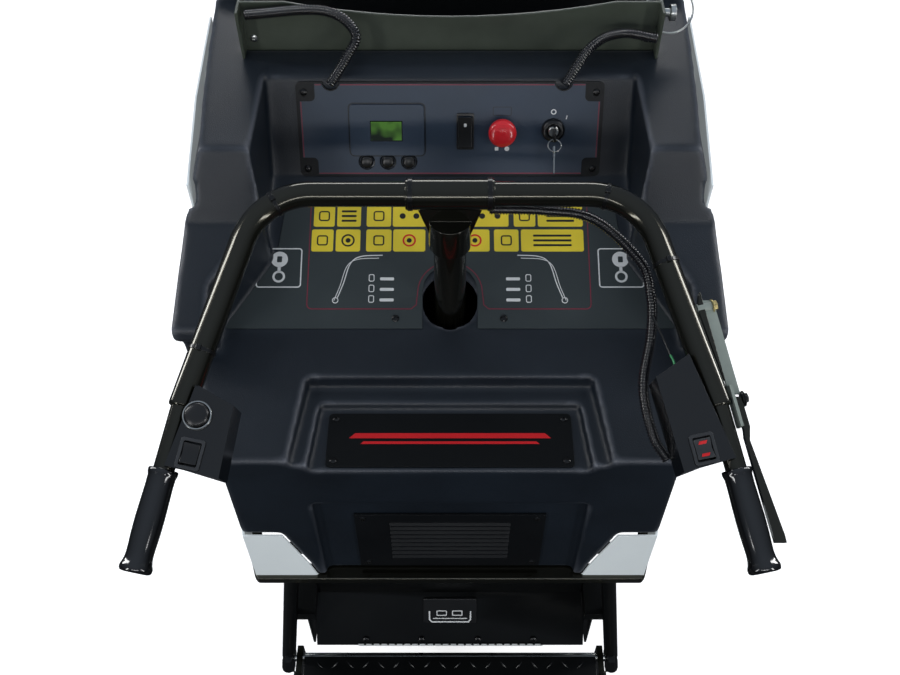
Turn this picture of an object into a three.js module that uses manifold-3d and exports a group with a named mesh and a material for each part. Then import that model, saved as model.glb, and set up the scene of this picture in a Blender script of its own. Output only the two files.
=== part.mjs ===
// Battery-electric ride-on tub buggy: a stand-on machine with a tipping tub in front of the operator.
// Millimetres, +Z up, +Y forward, +X to the operator's right, ground at Z = 0.
// Inside the machine group Y = 0 is the steering column's axis.
import * as THREE from 'three';
import { mergeVertices } from 'three/addons/utils/BufferGeometryUtils.js';
import Module from 'manifold-3d';

const wasm = await Module();
wasm.setup();

// ---------------------------------------------------------------- driving dimensions
const GAP = 0.3; // clearance between neighbouring solids
const TURNING_GAP = 0.8; // radial clearance where one faceted round piece turns in another
const TUB_LIP_Y = 1500; // front end of the machine
const PLATFORM_END_Y = -720; // rear end of the machine

const HOOD_TOP = 1140;
const HOOD_FRONT = 312;
const HOOD_REAR = -242;
const HOOD_WALL = 6;
const HOOD_HALF_TOP = 334;
const HOOD_ARM_FRONT = 440; // the arms beside the tub rest plate end here
const HOOD_HALF_LIP = 368;
const POD_HALF = 302;
const POD_BASE = 701;
const HOOD_BASE = 566;

const DASH = { y: 218.5, z: 1068.75, slope: 63.5, width: 440, height: 138, thick: 3 };
const DECAL = { y: 69, z: 962.5, slope: 20.2, width: 640, height: 224, thick: 2 };
const BAR = {
  z: 1150, slope: 22.7, radius: 16, endRadius: 12.5, bend: 88, legSplay: 16.2, gripSplay: 11.8,
  kneeX: 317.55, knee: 270, leg: 272, gripStart: 346, gripEnd: 466,
};
const COLUMN_RADIUS = 22;
const FORK = { crownBottom: 306, crownTop: 330, legHalf: 20, axleRadius: 12 };
const HUB_RADIUS = 20;
const RIM_EDGE = 0.4; // half a rim's width as a share of its tyre's width

const REAR_WHEEL = { radius: 150, width: 66, rim: 92, x: 70, z: 150 };
const FRONT_WHEEL = { radius: 230, width: 118, rim: 142, x: 331, y: 950, z: 230 };
const TUB_HINGE = { y: 1120, z: 420 };
const TUB_RIM_Z = 1172;
const TUB_RIM_REAR = 452;
const TUB_FLOOR_Z = 512;
const CYLINDER_BASE = { y: 400, z: 330 };
const CYLINDER_LUG = { y: 920, z: 480 };
const PLATFORM_HINGE = { y: -236, z: 200 };
const RAIL = { inner: 190, outer: 240, bottom: 310, top: 365 };

// ---------------------------------------------------------------- finishes
const FINISHES = {
  texturedPlastic: { color: 0x1c1f26, roughness: 0.55, metalness: 0 },
  blackPaint: { color: 0x0b0b0a, roughness: 0.22, metalness: 0.1 },
  satinBlack: { color: 0x14151a, roughness: 0.45, metalness: 0 },
  silverPaint: { color: 0xc9cecb, roughness: 0.35, metalness: 0.4 },
  rubber: { color: 0x090909, roughness: 0.35, metalness: 0 },
  tyre: { color: 0x151515, roughness: 0.85, metalness: 0 },
  steel: { color: 0xb9bbb8, roughness: 0.3, metalness: 1 },
  redPlastic: { color: 0xd01a24, roughness: 0.35, metalness: 0 },
  greyPlastic: { color: 0x3a3c40, roughness: 0.5, metalness: 0 },
};

const materials = {};
for (const [name, finish] of Object.entries(FINISHES)) {
  materials[name] = new THREE.MeshStandardMaterial(finish);
}

// ---------------------------------------------------------------- joining and cutting
function solidOf(geometry) {
  const bare = geometry.clone();
  bare.deleteAttribute('normal');
  bare.deleteAttribute('uv');
  const merged = mergeVertices(bare, 1e-3);
  const vertProperties = merged.attributes.position.array;
  const triVerts = new Uint32Array(merged.index.array);
  return new wasm.Manifold(new wasm.Mesh({ numProp: 3, vertProperties, triVerts }));
}

function geometryOf(solid) {
  const mesh = solid.getMesh();
  const geometry = new THREE.BufferGeometry();
  geometry.setAttribute('position', new THREE.BufferAttribute(mesh.vertProperties, 3));
  geometry.setIndex(new THREE.BufferAttribute(mesh.triVerts, 1));
  geometry.computeVertexNormals();
  return geometry;
}

function union(...geometries) {
  return geometryOf(geometries.map(solidOf).reduce((whole, next) => whole.add(next)));
}

function cut(body, ...tools) {
  return geometryOf(tools.map(solidOf).reduce((whole, tool) => whole.subtract(tool), solidOf(body)));
}

function common(...geometries) {
  return geometryOf(geometries.map(solidOf).reduce((whole, next) => whole.intersect(next)));
}

// The space inside a wall of even thickness: what is common to copies of the body shifted diagonally
// inwards, and to the same copies shifted away from the closed side (up for 1, down for -1).
function spaceInside(body, wall, open) {
  const copies = [];
  for (const x of [-wall, wall]) {
    for (const y of [-wall, wall]) {
      for (const z of [0, open * wall]) {
        copies.push(body.clone().translate(x, y, z));
      }
    }
  }
  return common(...copies);
}

// ---------------------------------------------------------------- basic solids
function block([x0, x1], [y0, y1], [z0, z1]) {
  const box = new THREE.BoxGeometry(x1 - x0, y1 - y0, z1 - z0);
  return box.translate((x0 + x1) / 2, (y0 + y1) / 2, (z0 + z1) / 2);
}

function shapeOf(points) {
  return new THREE.Shape(points.map(([x, y]) => new THREE.Vector2(x, y)));
}

// An outline in plan, standing from z0 to z1.
function slab(outline, z0, z1) {
  const shape = outline instanceof THREE.Shape ? outline : shapeOf(outline);
  const options = { depth: z1 - z0, bevelEnabled: false, curveSegments: 2 };
  return new THREE.ExtrudeGeometry(shape, options).translate(0, 0, z0);
}

// An outline of [y, z] points seen from the side, running from x0 to x1.
function sideways(outline, x0, x1) {
  const turn = new THREE.Matrix4().makeBasis(
    new THREE.Vector3(0, 1, 0), new THREE.Vector3(0, 0, 1), new THREE.Vector3(1, 0, 0));
  return slab(outline, 0, x1 - x0).applyMatrix4(turn).translate(x0, 0, 0);
}

// An outline of [x, z] points seen from behind, running from y0 to y1.
function endways(outline, y0, y1) {
  return slab(outline, 0, y1 - y0).rotateX(Math.PI / 2).translate(0, y1, 0);
}

function mirrored(points) {
  return [...points, ...points.map(([x, y]) => [-x, y]).reverse()];
}

function roundedRectangle(width, height, radius, x = 0, y = 0) {
  const right = x + width / 2;
  const left = x - width / 2;
  const top = y + height / 2;
  const bottom = y - height / 2;
  const shape = new THREE.Shape();
  shape.moveTo(left + radius, bottom);
  shape.lineTo(right - radius, bottom);
  shape.absarc(right - radius, bottom + radius, radius, -Math.PI / 2, 0);
  shape.lineTo(right, top - radius);
  shape.absarc(right - radius, top - radius, radius, 0, Math.PI / 2);
  shape.lineTo(left + radius, top);
  shape.absarc(left + radius, top - radius, radius, Math.PI / 2, Math.PI);
  shape.lineTo(left, bottom + radius);
  shape.absarc(left + radius, bottom + radius, radius, Math.PI, Math.PI * 1.5);
  return shape;
}

function rod(from, to, radius, segments = 12) {
  const start = new THREE.Vector3(...from);
  const along = new THREE.Vector3(...to).sub(start);
  const length = along.length();
  const turn = new THREE.Quaternion().setFromUnitVectors(new THREE.Vector3(0, 1, 0), along.normalize());
  const middle = start.addScaledVector(along, length / 2);
  return new THREE.CylinderGeometry(radius, radius, length, segments)
    .applyQuaternion(turn).translate(middle.x, middle.y, middle.z);
}

// A profile of [radius, height] points turned about Z.
function turned(profile, segments = 14) {
  const points = profile.map(([radius, height]) => new THREE.Vector2(radius, height));
  return new THREE.LatheGeometry(points, segments).rotateX(Math.PI / 2);
}

// The same about X, with heights measured along +X.
function turnedAboutX(profile, segments) {
  return turned(profile, segments).rotateY(Math.PI / 2);
}

function tube(points, radius, steps) {
  const path = new THREE.CatmullRomCurve3(points.map((point) => new THREE.Vector3(...point)));
  const circle = new THREE.Shape().absarc(0, 0, radius, 0, Math.PI * 2);
  const options = { steps, extrudePath: path, bevelEnabled: false, curveSegments: 4 };
  return new THREE.ExtrudeGeometry(circle, options);
}

// Builds one piece on each side of the machine from a function of the side's sign.
function bothSides(make) {
  return [-1, 1].map(make);
}

function span(side, near, far) {
  return side > 0 ? [near, far] : [-far, -near];
}

// ---------------------------------------------------------------- scene graph
const machine = new THREE.Group();
machine.position.y = -(TUB_LIP_Y + PLATFORM_END_Y) / 2;

function place(name, finish, geometry, group = machine) {
  const mesh = new THREE.Mesh(geometry, materials[finish]);
  mesh.name = name;
  group.add(mesh);
  return mesh;
}

// A group whose XY plane is tipped up towards the front, with Z as the surface's outward normal.
function tippedGroup({ y = 0, z, slope }) {
  const group = new THREE.Group();
  group.position.set(0, y, z);
  group.rotation.x = THREE.MathUtils.degToRad(slope);
  machine.add(group);
  return group;
}

function tipped(geometry, { y = 0, z, slope }) {
  return geometry.rotateX(THREE.MathUtils.degToRad(slope)).translate(0, y, z);
}

// ---------------------------------------------------------------- rear hood
// The moulded cover over the batteries: two shoulders beside the dash, a sloped console behind it and a
// narrower pod with a pocket and a recessed rear wall.
const DASH_RISE = Math.tan(THREE.MathUtils.degToRad(DASH.slope));
const DECAL_RISE = Math.tan(THREE.MathUtils.degToRad(DECAL.slope));
const footY = (DECAL.z - DECAL.y * DECAL_RISE - DASH.z + DASH.y * DASH_RISE) / (DASH_RISE - DECAL_RISE);
const DASH_TOP = [272, HOOD_TOP];
const DASH_BROW = [DASH.y + (HOOD_TOP - 4 - DASH.z) / DASH_RISE, HOOD_TOP - 4];
const DASH_FOOT = [footY, DECAL.z + (footY - DECAL.y) * DECAL_RISE];
const DECK_START = [-40, DECAL.z + (-40 - DECAL.y) * DECAL_RISE];
const DECK_END = [HOOD_REAR, 904];
const COVER_BASE = 1100; // the top edge over the silver flanks hangs down to here
const FLANK_STEP = { x: 344, y: 60 }; // forward of this the hood's sides are set in for the flanks
const APRON = [[290, 720], [246, 700], [214, 600], [206, HOOD_BASE]]; // half of the wall below the pods
const POD_PLAN = [[POD_HALF, HOOD_REAR], [HOOD_HALF_LIP - 3, -64], [HOOD_HALF_LIP - 3, HOOD_FRONT]];

function hoodOutside() {
  const shoulders = common(
    sideways([[HOOD_FRONT, 880], [HOOD_FRONT, HOOD_TOP], [97, HOOD_TOP], [45, 1050], [-98, 998],
      [-103, 984], [-94, 968], [-76, 950], [-66, 880]], -HOOD_HALF_LIP, HOOD_HALF_LIP),
    endways(mirrored([[HOOD_HALF_TOP, HOOD_TOP + 2], [HOOD_HALF_LIP - 6, 1050], [HOOD_HALF_LIP, 1000],
      [HOOD_HALF_LIP, 870]]), -150, HOOD_FRONT + 1));
  const topEdge = cut(
    slab(mirrored([[HOOD_HALF_TOP, 97], [344, 200], [352, HOOD_FRONT], [359, HOOD_ARM_FRONT]]),
      COVER_BASE, HOOD_TOP),
    block([-300, 300], [HOOD_FRONT, HOOD_ARM_FRONT + 1], [COVER_BASE - 1, HOOD_TOP + 1]));
  const consoleAbove = common(
    sideways([DASH_TOP, [DASH_TOP[0], 1200], [-150, 1200], [-150, 905], DECK_START, DASH_FOOT, DASH_BROW],
      -340, 340),
    slab(mirrored([[262, 300], [266, 97], [256, 62], [322, -36], [322, -150]]), 880, 1200));
  const pod = common(
    sideways([DECK_END, DECK_START, DASH_FOOT, [HOOD_FRONT, DASH_FOOT[1]], [HOOD_FRONT, POD_BASE],
      [HOOD_REAR, POD_BASE]], -HOOD_HALF_LIP, HOOD_HALF_LIP),
    slab(mirrored(POD_PLAN), 500, 1200));
  const apron = endways(mirrored(APRON), HOOD_REAR, HOOD_FRONT);
  const flankSteps = bothSides((side) => block(
    span(side, FLANK_STEP.x, 400), [FLANK_STEP.y, HOOD_FRONT + 1], [HOOD_BASE - 1, COVER_BASE]));
  const body = cut(union(cut(shoulders, consoleAbove), pod, apron), ...flankSteps);
  return cut(union(body, cut(topEdge, consoleAbove)), ...pocketCuts());
}

// The pocket holds the nameplate in two steps; below it the rear wall sits forward of the pods.
function pocketCuts() {
  const step = (frontHalf, front, rearHalf, floor) => slab(
    [[-frontHalf, front], [frontHalf, front], [rearHalf, HOOD_REAR - 1], [-rearHalf, HOOD_REAR - 1]],
    floor, 1000);
  const outerStep = step(196, -114, 212, 893);
  const innerStep = step(178, -143, 188, 880);
  const rearWall = block([-192, 192], [HOOD_REAR - 1, HOOD_REAR + 14], [HOOD_BASE - 1, 790]);
  return [outerStep, innerStep, rearWall];
}

function rearHood() {
  const outside = hoodOutside();
  const shell = cut(outside, spaceInside(outside, HOOD_WALL, -1));
  const columnSlot = rod([0, 4, 860], [0, 4, 1000], 38, 16);
  const dashWindow = tipped(block([-200, 200], [-62, 55], [-40, 10]), DASH);
  const ventWindow = block([-120, 120], [HOOD_REAR - 1, -200], [600, 720]);
  return cut(shell, columnSlot, dashWindow, ventWindow);
}

place('rear_hood', 'texturedPlastic', rearHood());

// ---------------------------------------------------------------- dash
const dash = tippedGroup(DASH);
const DASH_FACE = DASH.thick;
const DISPLAY = { x: -91, y: 0, width: 107, height: 74, depth: 34, face: 4 };
const MENU_BUTTONS = { y: -47, spacing: 31, radius: 9.4 };
const ROCKER = { x: 22, y: -2, width: 22, height: 50 };
const ESTOP = { x: 75, y: 0, head: 20, neck: 11 };
const KEY_SWITCH = { x: 149, y: 0, radius: 17 };

function dashPanel() {
  const plate = slab(roundedRectangle(DASH.width, DASH.height, 8), GAP, DASH_FACE);
  const conduitNotch = (x) => rod([x, DASH.height / 2, -5], [x, DASH.height / 2, 10], 12);
  return cut(plate,
    slab(roundedRectangle(DISPLAY.width - 6, DISPLAY.height - 6, 5, DISPLAY.x, DISPLAY.y), -5, 10),
    slab(roundedRectangle(ROCKER.width, ROCKER.height, 2, ROCKER.x, ROCKER.y), -5, 10),
    rod([ESTOP.x, ESTOP.y, -5], [ESTOP.x, ESTOP.y, 10], ESTOP.neck + 1),
    rod([KEY_SWITCH.x, KEY_SWITCH.y, -5], [KEY_SWITCH.x, KEY_SWITCH.y, 10], 12),
    ...menuButtonPlaces().map((x) => rod([x, MENU_BUTTONS.y, -5], [x, MENU_BUTTONS.y, 10],
      MENU_BUTTONS.radius + TURNING_GAP)),
    conduitNotch(-170), conduitNotch(162));
}

function displayModule() {
  const back = slab(roundedRectangle(DISPLAY.width - 8, DISPLAY.height - 8, 5, DISPLAY.x, DISPLAY.y),
    -DISPLAY.depth, DASH_FACE + 1);
  const bezel = slab(roundedRectangle(DISPLAY.width, DISPLAY.height, 6, DISPLAY.x, DISPLAY.y),
    DASH_FACE + GAP, DASH_FACE + DISPLAY.face);
  return union(back, bezel);
}

// The three buttons sit in a row below the display, in holes through the dash sheet.
function menuButtonPlaces() {
  return [-1, 0, 1].map((step) => DISPLAY.x + step * MENU_BUTTONS.spacing);
}

function menuButton(x) {
  const { y, radius } = MENU_BUTTONS;
  return turned([[0, -6], [radius, -6], [radius, DASH_FACE + 3], [radius - 3, DASH_FACE + 6],
    [0, DASH_FACE + 7]]).translate(x, y, 0);
}

// A rocker cap: two faces meeting at a shallow V, on a body that fits its cut-out.
function rockerCap(width, height, rise) {
  const half = height / 2;
  return sideways([[-half, rise], [0, rise * 0.55], [half, rise], [half * 0.8, -3], [-half * 0.8, -3]],
    -width / 2, width / 2);
}

place('dash_panel', 'satinBlack', dashPanel(), dash);
place('display_module', 'greyPlastic', displayModule(), dash);
menuButtonPlaces().forEach((x, index) => place(`menu_button_${index + 1}`, 'rubber', menuButton(x), dash));
place('light_rocker', 'rubber',
  rockerCap(ROCKER.width - 2, ROCKER.height - 6, 8).translate(ROCKER.x, ROCKER.y, DASH_FACE), dash);
place('estop_base', 'greyPlastic', turned([[ESTOP.neck - 3, -30], [ESTOP.neck, -30],
  [ESTOP.neck, DASH_FACE + GAP], [17, DASH_FACE + GAP], [17, 8], [ESTOP.neck - 3, 8], [ESTOP.neck - 3, -30]])
  .translate(ESTOP.x, ESTOP.y, 0), dash);
place('estop_button', 'redPlastic', turned([[0, -20], [7, -20], [7, 16], [17, 16], [ESTOP.head, 19],
  [ESTOP.head, 27], [16, 32], [8, 34], [0, 34]]).translate(ESTOP.x, ESTOP.y, 0), dash);
place('key_switch', 'rubber', cut(turned([[0, -30], [11, -30], [11, DASH_FACE + GAP],
  [KEY_SWITCH.radius, DASH_FACE + GAP], [KEY_SWITCH.radius, 9], [13, 14], [0, 14]]),
  rod([0, 0, 6], [0, 0, 20], 8)).translate(KEY_SWITCH.x, KEY_SWITCH.y, 0), dash);
place('key', 'steel', union(
  rod([0, 0, 8], [0, 0, 16], 7),
  slab(roundedRectangle(3, 22, 1.4), 15, 38)).translate(KEY_SWITCH.x, KEY_SWITCH.y, 0), dash);

// ---------------------------------------------------------------- console sheet, nameplate and vent
const consoleSheet = tippedGroup(DECAL);
const halfDecal = DECAL.height / 2;

place('decal_plate', 'satinBlack', cut(
  slab(mirrored([[236, halfDecal], [250, -6], [316, 4 - halfDecal], [316, -halfDecal]]), GAP, DECAL.thick),
  slab(roundedRectangle(78, 150, 38, 0, -halfDecal + 20), -5, 10)), consoleSheet);

place('nameplate', 'satinBlack', slab(roundedRectangle(330, 84, 6, 0, -194), 880.3, 883.3));

function ventGrille() {
  const face = endways(mirrored([[138, 742], [138, 578]]), -232, -228 - GAP);
  const slots = [];
  for (let z = 608; z <= 712; z += 13) {
    slots.push(block([-88, 88], [-240, -220], [z, z + 6]));
  }
  return cut(face, ...slots);
}

place('vent_grille', 'satinBlack', ventGrille());

// ---------------------------------------------------------------- lower body and sheet metal
const BUMPER = { bottom: 548, top: 564 };

// One folded silver sheet per side: rear corner, tapered side below the pod, and the bulging flank.
const FLANK = { base: 392, top: 1106, sheet: 3 };
const LOWER_EDGE = [[POD_HALF - 94, HOOD_REAR], [POD_HALF + 1, HOOD_REAR], [349, -60], [350, 62]];
const FLANK_EDGE = [[350, 62], [355, 127], [367, 245], [370, 352], [374, HOOD_ARM_FRONT]];

function sheetAlong(side, edge, z0, z1) {
  const inner = edge.map(([x, y]) => [x - FLANK.sheet, Math.max(y, HOOD_REAR + FLANK.sheet)]).reverse();
  const outline = [...edge, ...inner];
  return slab(side > 0 ? outline : outline.map(([x, y]) => [-x, y]).reverse(), z0, z1);
}

function sidePanel(side) {
  const lower = sheetAlong(side, [...LOWER_EDGE, ...FLANK_EDGE.slice(1)], BUMPER.top + GAP, 696);
  const skin = sheetAlong(side, FLANK_EDGE, FLANK.base, FLANK.top);
  const apronClearance = endways(mirrored(APRON.map(([x, z], index) => [x + 0.5, index ? z - 0.5 : z])),
    HOOD_REAR - 1, HOOD_FRONT);
  return cut(union(lower, skin), apronClearance);
}

place('side_panel_left', 'silverPaint', sidePanel(-1));
place('side_panel_right', 'silverPaint', sidePanel(1));
place('rear_bumper', 'satinBlack', cut(
  slab(mirrored([[300, -249], [305, -243], [356, -90]]), BUMPER.bottom, BUMPER.top),
  slab(mirrored([[286, -222], [330, -80]]), 500, 600)));

// The folded panel in front of the operator's toes, with the opening for the charge socket.
const TOE = { half: 234, footHalf: 243, y: -159, top: 545, knee: 323, footY: -226, footZ: 233, thick: 4 };
const FLAP = { y: -183.6, z: 293.5, slope: 55, width: 96, height: 50, thick: 5, seal: 6 };

function toePanel() {
  const outside = [[TOE.y - TOE.thick, TOE.knee], [TOE.footY, TOE.footZ]];
  const inside = [[TOE.footY + TOE.thick, TOE.footZ - 2], [TOE.y, TOE.knee - 3]];
  const upright = sideways([[TOE.y, TOE.top], [TOE.y - TOE.thick, TOE.top], outside[0], inside[1]],
    -TOE.half, TOE.half);
  const foot = sideways([...outside, ...inside], -TOE.footHalf, TOE.footHalf);
  const opening = slab(roundedRectangle(FLAP.width - 2 * FLAP.seal, FLAP.height - 2 * FLAP.seal, 4), -20, 20);
  return cut(union(upright, foot), tipped(opening, FLAP));
}

place('toe_panel', 'satinBlack', toePanel());
place('charge_flap', 'rubber',
  tipped(slab(roundedRectangle(FLAP.width, FLAP.height, 4), GAP, FLAP.thick), FLAP));

// The plate that the tub leans on, with a hollowed top edge and a bracket at each end.
const REST = { half: 298, bottom: 1100, side: 1216, centre: 1192, y: HOOD_FRONT + 1, thick: 4, pinZ: 1186 };

function lockPinRod(x0, x1, radius) {
  return rod([x0, REST.y + 20, REST.pinZ], [x1, REST.y + 20, REST.pinZ], radius, 16);
}

function tubRestPlate() {
  const edge = [];
  const steps = 12;
  for (let step = 0; step <= steps; step += 1) {
    const along = (step / steps) * 2 - 1;
    edge.push([along * 232, REST.centre + (REST.side - REST.centre) * along * along]);
  }
  const plate = endways([[-REST.half, REST.bottom], [REST.half, REST.bottom], [REST.half, REST.side],
    ...edge.reverse(), [-REST.half, REST.side]], REST.y, REST.y + REST.thick);
  const ear = (side) => block(side > 0 ? [REST.half - 4, REST.half] : [-REST.half, 4 - REST.half],
    [REST.y - 26, REST.y + 34], [HOOD_TOP + GAP, REST.side]);
  const pinHole = lockPinRod(REST.half - 10, REST.half + 10, 6.5);
  return cut(union(plate, ear(1), ear(-1)), pinHole);
}

place('tub_rest_plate', 'blackPaint', tubRestPlate());
place('lock_pin', 'steel', union(
  lockPinRod(REST.half - 34, REST.half + 18, 6), lockPinRod(REST.half + 16, REST.half + 24, 12)));

// Ribbed cable conduits that hang from the brackets over to the notches in the dash panel's top edge.
place('conduit_left', 'rubber', tube([[-286, 298, 1206], [-176, 296, 1214], [-133, 285, 1186],
  [-146, 262, 1160], [-170, 237, 1133]], 7.5, 16));
place('conduit_right', 'rubber', tube([[290, 278, 1182], [239, 284, 1186], [198, 272, 1172],
  [162, 237, 1133]], 7.5, 14));

// ---------------------------------------------------------------- steering: handlebar, column, fork
const splay = THREE.MathUtils.degToRad(BAR.gripSplay);
const legSplay = THREE.MathUtils.degToRad(BAR.legSplay);
const bar = tippedGroup(BAR);

// A point beside one grip's centre line, in the bar's plane: how far back along the slope, and how far
// outside the line. The thick legs meet that line at the knee.
function besideLeg(side, back, outside = 0) {
  const x = BAR.kneeX + (back - BAR.knee) * Math.tan(splay) + outside / Math.cos(splay);
  return [side * x, -back];
}

function handlebarPath() {
  const legX = (back) => BAR.kneeX + (back - BAR.knee) * Math.tan(legSplay);
  const tangent = BAR.bend * Math.tan((Math.PI / 2 - legSplay) / 2);
  const bendBack = tangent * Math.cos(legSplay);
  const corner = [legX(0), 0];
  const straightEnd = [legX(0) - tangent, 0];
  const bendEnd = [legX(bendBack), -bendBack];
  const end = [legX(BAR.leg), -BAR.leg];
  const right = ([x, y]) => new THREE.Vector3(x, y, 0);
  const left = ([x, y]) => new THREE.Vector3(-x, y, 0);
  const path = new THREE.CurvePath();
  path.add(new THREE.LineCurve3(left(end), left(bendEnd)));
  path.add(new THREE.QuadraticBezierCurve3(left(bendEnd), left(corner), left(straightEnd)));
  path.add(new THREE.LineCurve3(left(straightEnd), right(straightEnd)));
  path.add(new THREE.QuadraticBezierCurve3(right(straightEnd), right(corner), right(bendEnd)));
  path.add(new THREE.LineCurve3(right(bendEnd), right(end)));
  return path;
}

function handlebar() {
  const circle = new THREE.Shape().absarc(0, 0, BAR.radius, 0, Math.PI * 2);
  const options = { steps: 30, extrudePath: handlebarPath(), bevelEnabled: false, curveSegments: 5 };
  const hoop = new THREE.ExtrudeGeometry(circle, options);
  const ends = [-1, 1].map((side) => rod([...besideLeg(side, BAR.leg - 8), 0],
    [...besideLeg(side, BAR.gripEnd - 14), 0], BAR.endRadius, 16));
  return union(hoop, ...ends);
}

// A grip sleeve over the thin end of the bar, closed and flared at its outer end.
function grip(side) {
  const [startX, startY] = besideLeg(side, BAR.gripStart);
  const length = BAR.gripEnd - BAR.gripStart;
  const bore = BAR.endRadius + TURNING_GAP;
  return turned([[bore, 0], [17.5, 0], [17.5, 6], [16, 10], [16.5, length - 22], [19, length - 6],
    [17, length], [0, length], [0, length - 6], [bore, length - 6], [bore, 0]])
    .rotateX(Math.PI / 2).rotateZ(side * splay).translate(startX, startY, 0);
}

// The clamp on the crossbar, its tapered web and the socket on top of the column.
function collar() {
  const clamp = rod([-56, 0, BAR.z], [56, 0, BAR.z], 20, 16);
  const web = endways(mirrored([[46, BAR.z - 8], [22, BAR.z - 82]]), -5, 5);
  const socket = rod([0, 0, BAR.z - 92], [0, 0, BAR.z - 44], 28, 16);
  const barHole = rod([-60, 0, BAR.z], [60, 0, BAR.z], BAR.radius + GAP, 16);
  const columnHole = rod([0, 0, BAR.z - 100], [0, 0, BAR.z - 50], COLUMN_RADIUS + GAP, 16);
  return cut(union(clamp, web, socket), barHole, columnHole);
}

place('handlebar', 'blackPaint', handlebar(), bar);
place('grip_left', 'rubber', grip(-1), bar);
place('grip_right', 'rubber', grip(1), bar);
place('handlebar_collar', 'blackPaint', collar());
place('steering_column', 'blackPaint',
  rod([0, 0, FORK.crownTop], [0, 0, BAR.z - 50 - GAP], COLUMN_RADIUS, 16));

// Switch boxes inside each leg: a block clear of the tube and a lid that reaches over it. Corners are
// [back, outside] beside the leg, from the front outer corner round the inner ones to the rear outer one.
const LID_TOP = 20;
const LEFT_BOX = [[250, -15], [274, -65], [359, -70], [344, -5]];
const RIGHT_BOX = [[212, -22.5], [240, -68], [352, -65], [335, -2]];
const HORN = besideLeg(-1, 286, -27);
const TUB_ROCKER = besideLeg(-1, 331, -31);
const DIRECTION_ROCKER = besideLeg(1, 325, -36);
const HAND_ROCKER = { width: 20, height: 24 };

function switchBox(side, corners, wells) {
  const clearOfLeg = -(BAR.radius + 2);
  const outline = (limit) => {
    const points = corners.map(([back, outside]) => besideLeg(side, back, Math.min(outside, limit)));
    return side > 0 ? points : points.reverse();
  };
  const body = slab(outline(clearOfLeg), -26, LID_TOP);
  const lid = slab(outline(0), BAR.radius + GAP, LID_TOP);
  return cut(union(body, lid), ...wells);
}

function rockerWell([x, y], side) {
  const { width, height } = HAND_ROCKER;
  return slab(roundedRectangle(width + 2, height + 6, 2), 8, 30).rotateZ(side * splay).translate(x, y, 0);
}

function handRocker([x, y], side) {
  const { width, height } = HAND_ROCKER;
  return rockerCap(width, height, 7).rotateZ(side * splay).translate(x, y, LID_TOP - 3);
}

place('switch_box_left', 'satinBlack',
  switchBox(-1, LEFT_BOX, [rod([...HORN, 8], [...HORN, 30], 11), rockerWell(TUB_ROCKER, -1)]), bar);
place('switch_box_right', 'satinBlack', switchBox(1, RIGHT_BOX, [rockerWell(DIRECTION_ROCKER, 1)]), bar);
place('horn_button', 'rubber', turned([[0, -8], [10, -8], [10, 3.2], [14.5, 4.4], [13, 8], [0, 9.5]])
  .translate(...HORN, LID_TOP), bar);
place('tub_rocker', 'rubber', handRocker(TUB_ROCKER, -1), bar);
place('direction_rocker', 'greyPlastic', handRocker(DIRECTION_ROCKER, 1), bar);

// The bar and the squeeze lever outside the right leg.
function besideBar(from, to, width, z0, z1) {
  const [fromBack, fromOutside] = from;
  const [toBack, toOutside] = to;
  const half = width / 2;
  return slab([besideLeg(1, toBack, toOutside - half), besideLeg(1, toBack, toOutside + half),
    besideLeg(1, fromBack, fromOutside + half), besideLeg(1, fromBack, fromOutside - half)], z0, z1);
}

const LINK_OUTSIDE = BAR.radius + 7;
const LEVER = { pivot: 268, front: 260, bend: 300, pin: 3.5 };
// The lever's plan, [back, outside] beside the grip: an eye beside the link bar, then a widening blade.
const LEVER_PLAN = [[LEVER.front, 21], [LEVER.front, 29], [LEVER.bend - 4, 29], [312, 24.4], [421, 32.8],
  [430, 32.4], [430, 19.6], [308, 19.4], [LEVER.bend, 21]];

// A bolt that points straight out from the leg, between two distances outside its centre line.
function outwardBolt(back, near, far, height, radius) {
  return rod([...besideLeg(1, back - near * Math.sin(splay), near), height],
    [...besideLeg(1, back - far * Math.sin(splay), far), height], radius, 16);
}

place('lever_link_bar', 'steel', cut(union(
  besideBar([140, LINK_OUTSIDE], [LEVER.front - 4, LINK_OUTSIDE], 13, -4, 1),
  besideBar([LEVER.front - 13, BAR.radius + 2.5], [LEVER.bend - 4, BAR.radius + 2.5], 3.6, -10, 10),
  outwardBolt(152, BAR.radius - 8.4, BAR.radius + 10, -2, 6)),
outwardBolt(LEVER.pivot, 5, 40, 0, LEVER.pin + TURNING_GAP)), bar);
place('drive_lever', 'blackPaint', union(
  slab(LEVER_PLAN.map(([back, outside]) => besideLeg(1, back, outside)), -4, 4),
  outwardBolt(LEVER.pivot, BAR.radius + 1, 26, 0, LEVER.pin)), bar);

place('handlebar_conduit', 'rubber', tube([[262, -330, -35], [246, -300, -35], [237, -240, -35],
  [250, -172, -34], [252, -122, -33], [240, -78, -31], [184, -22, -30], [120, -10, -29],
  [50, -8, -29]], 7, 28), bar);

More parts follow.
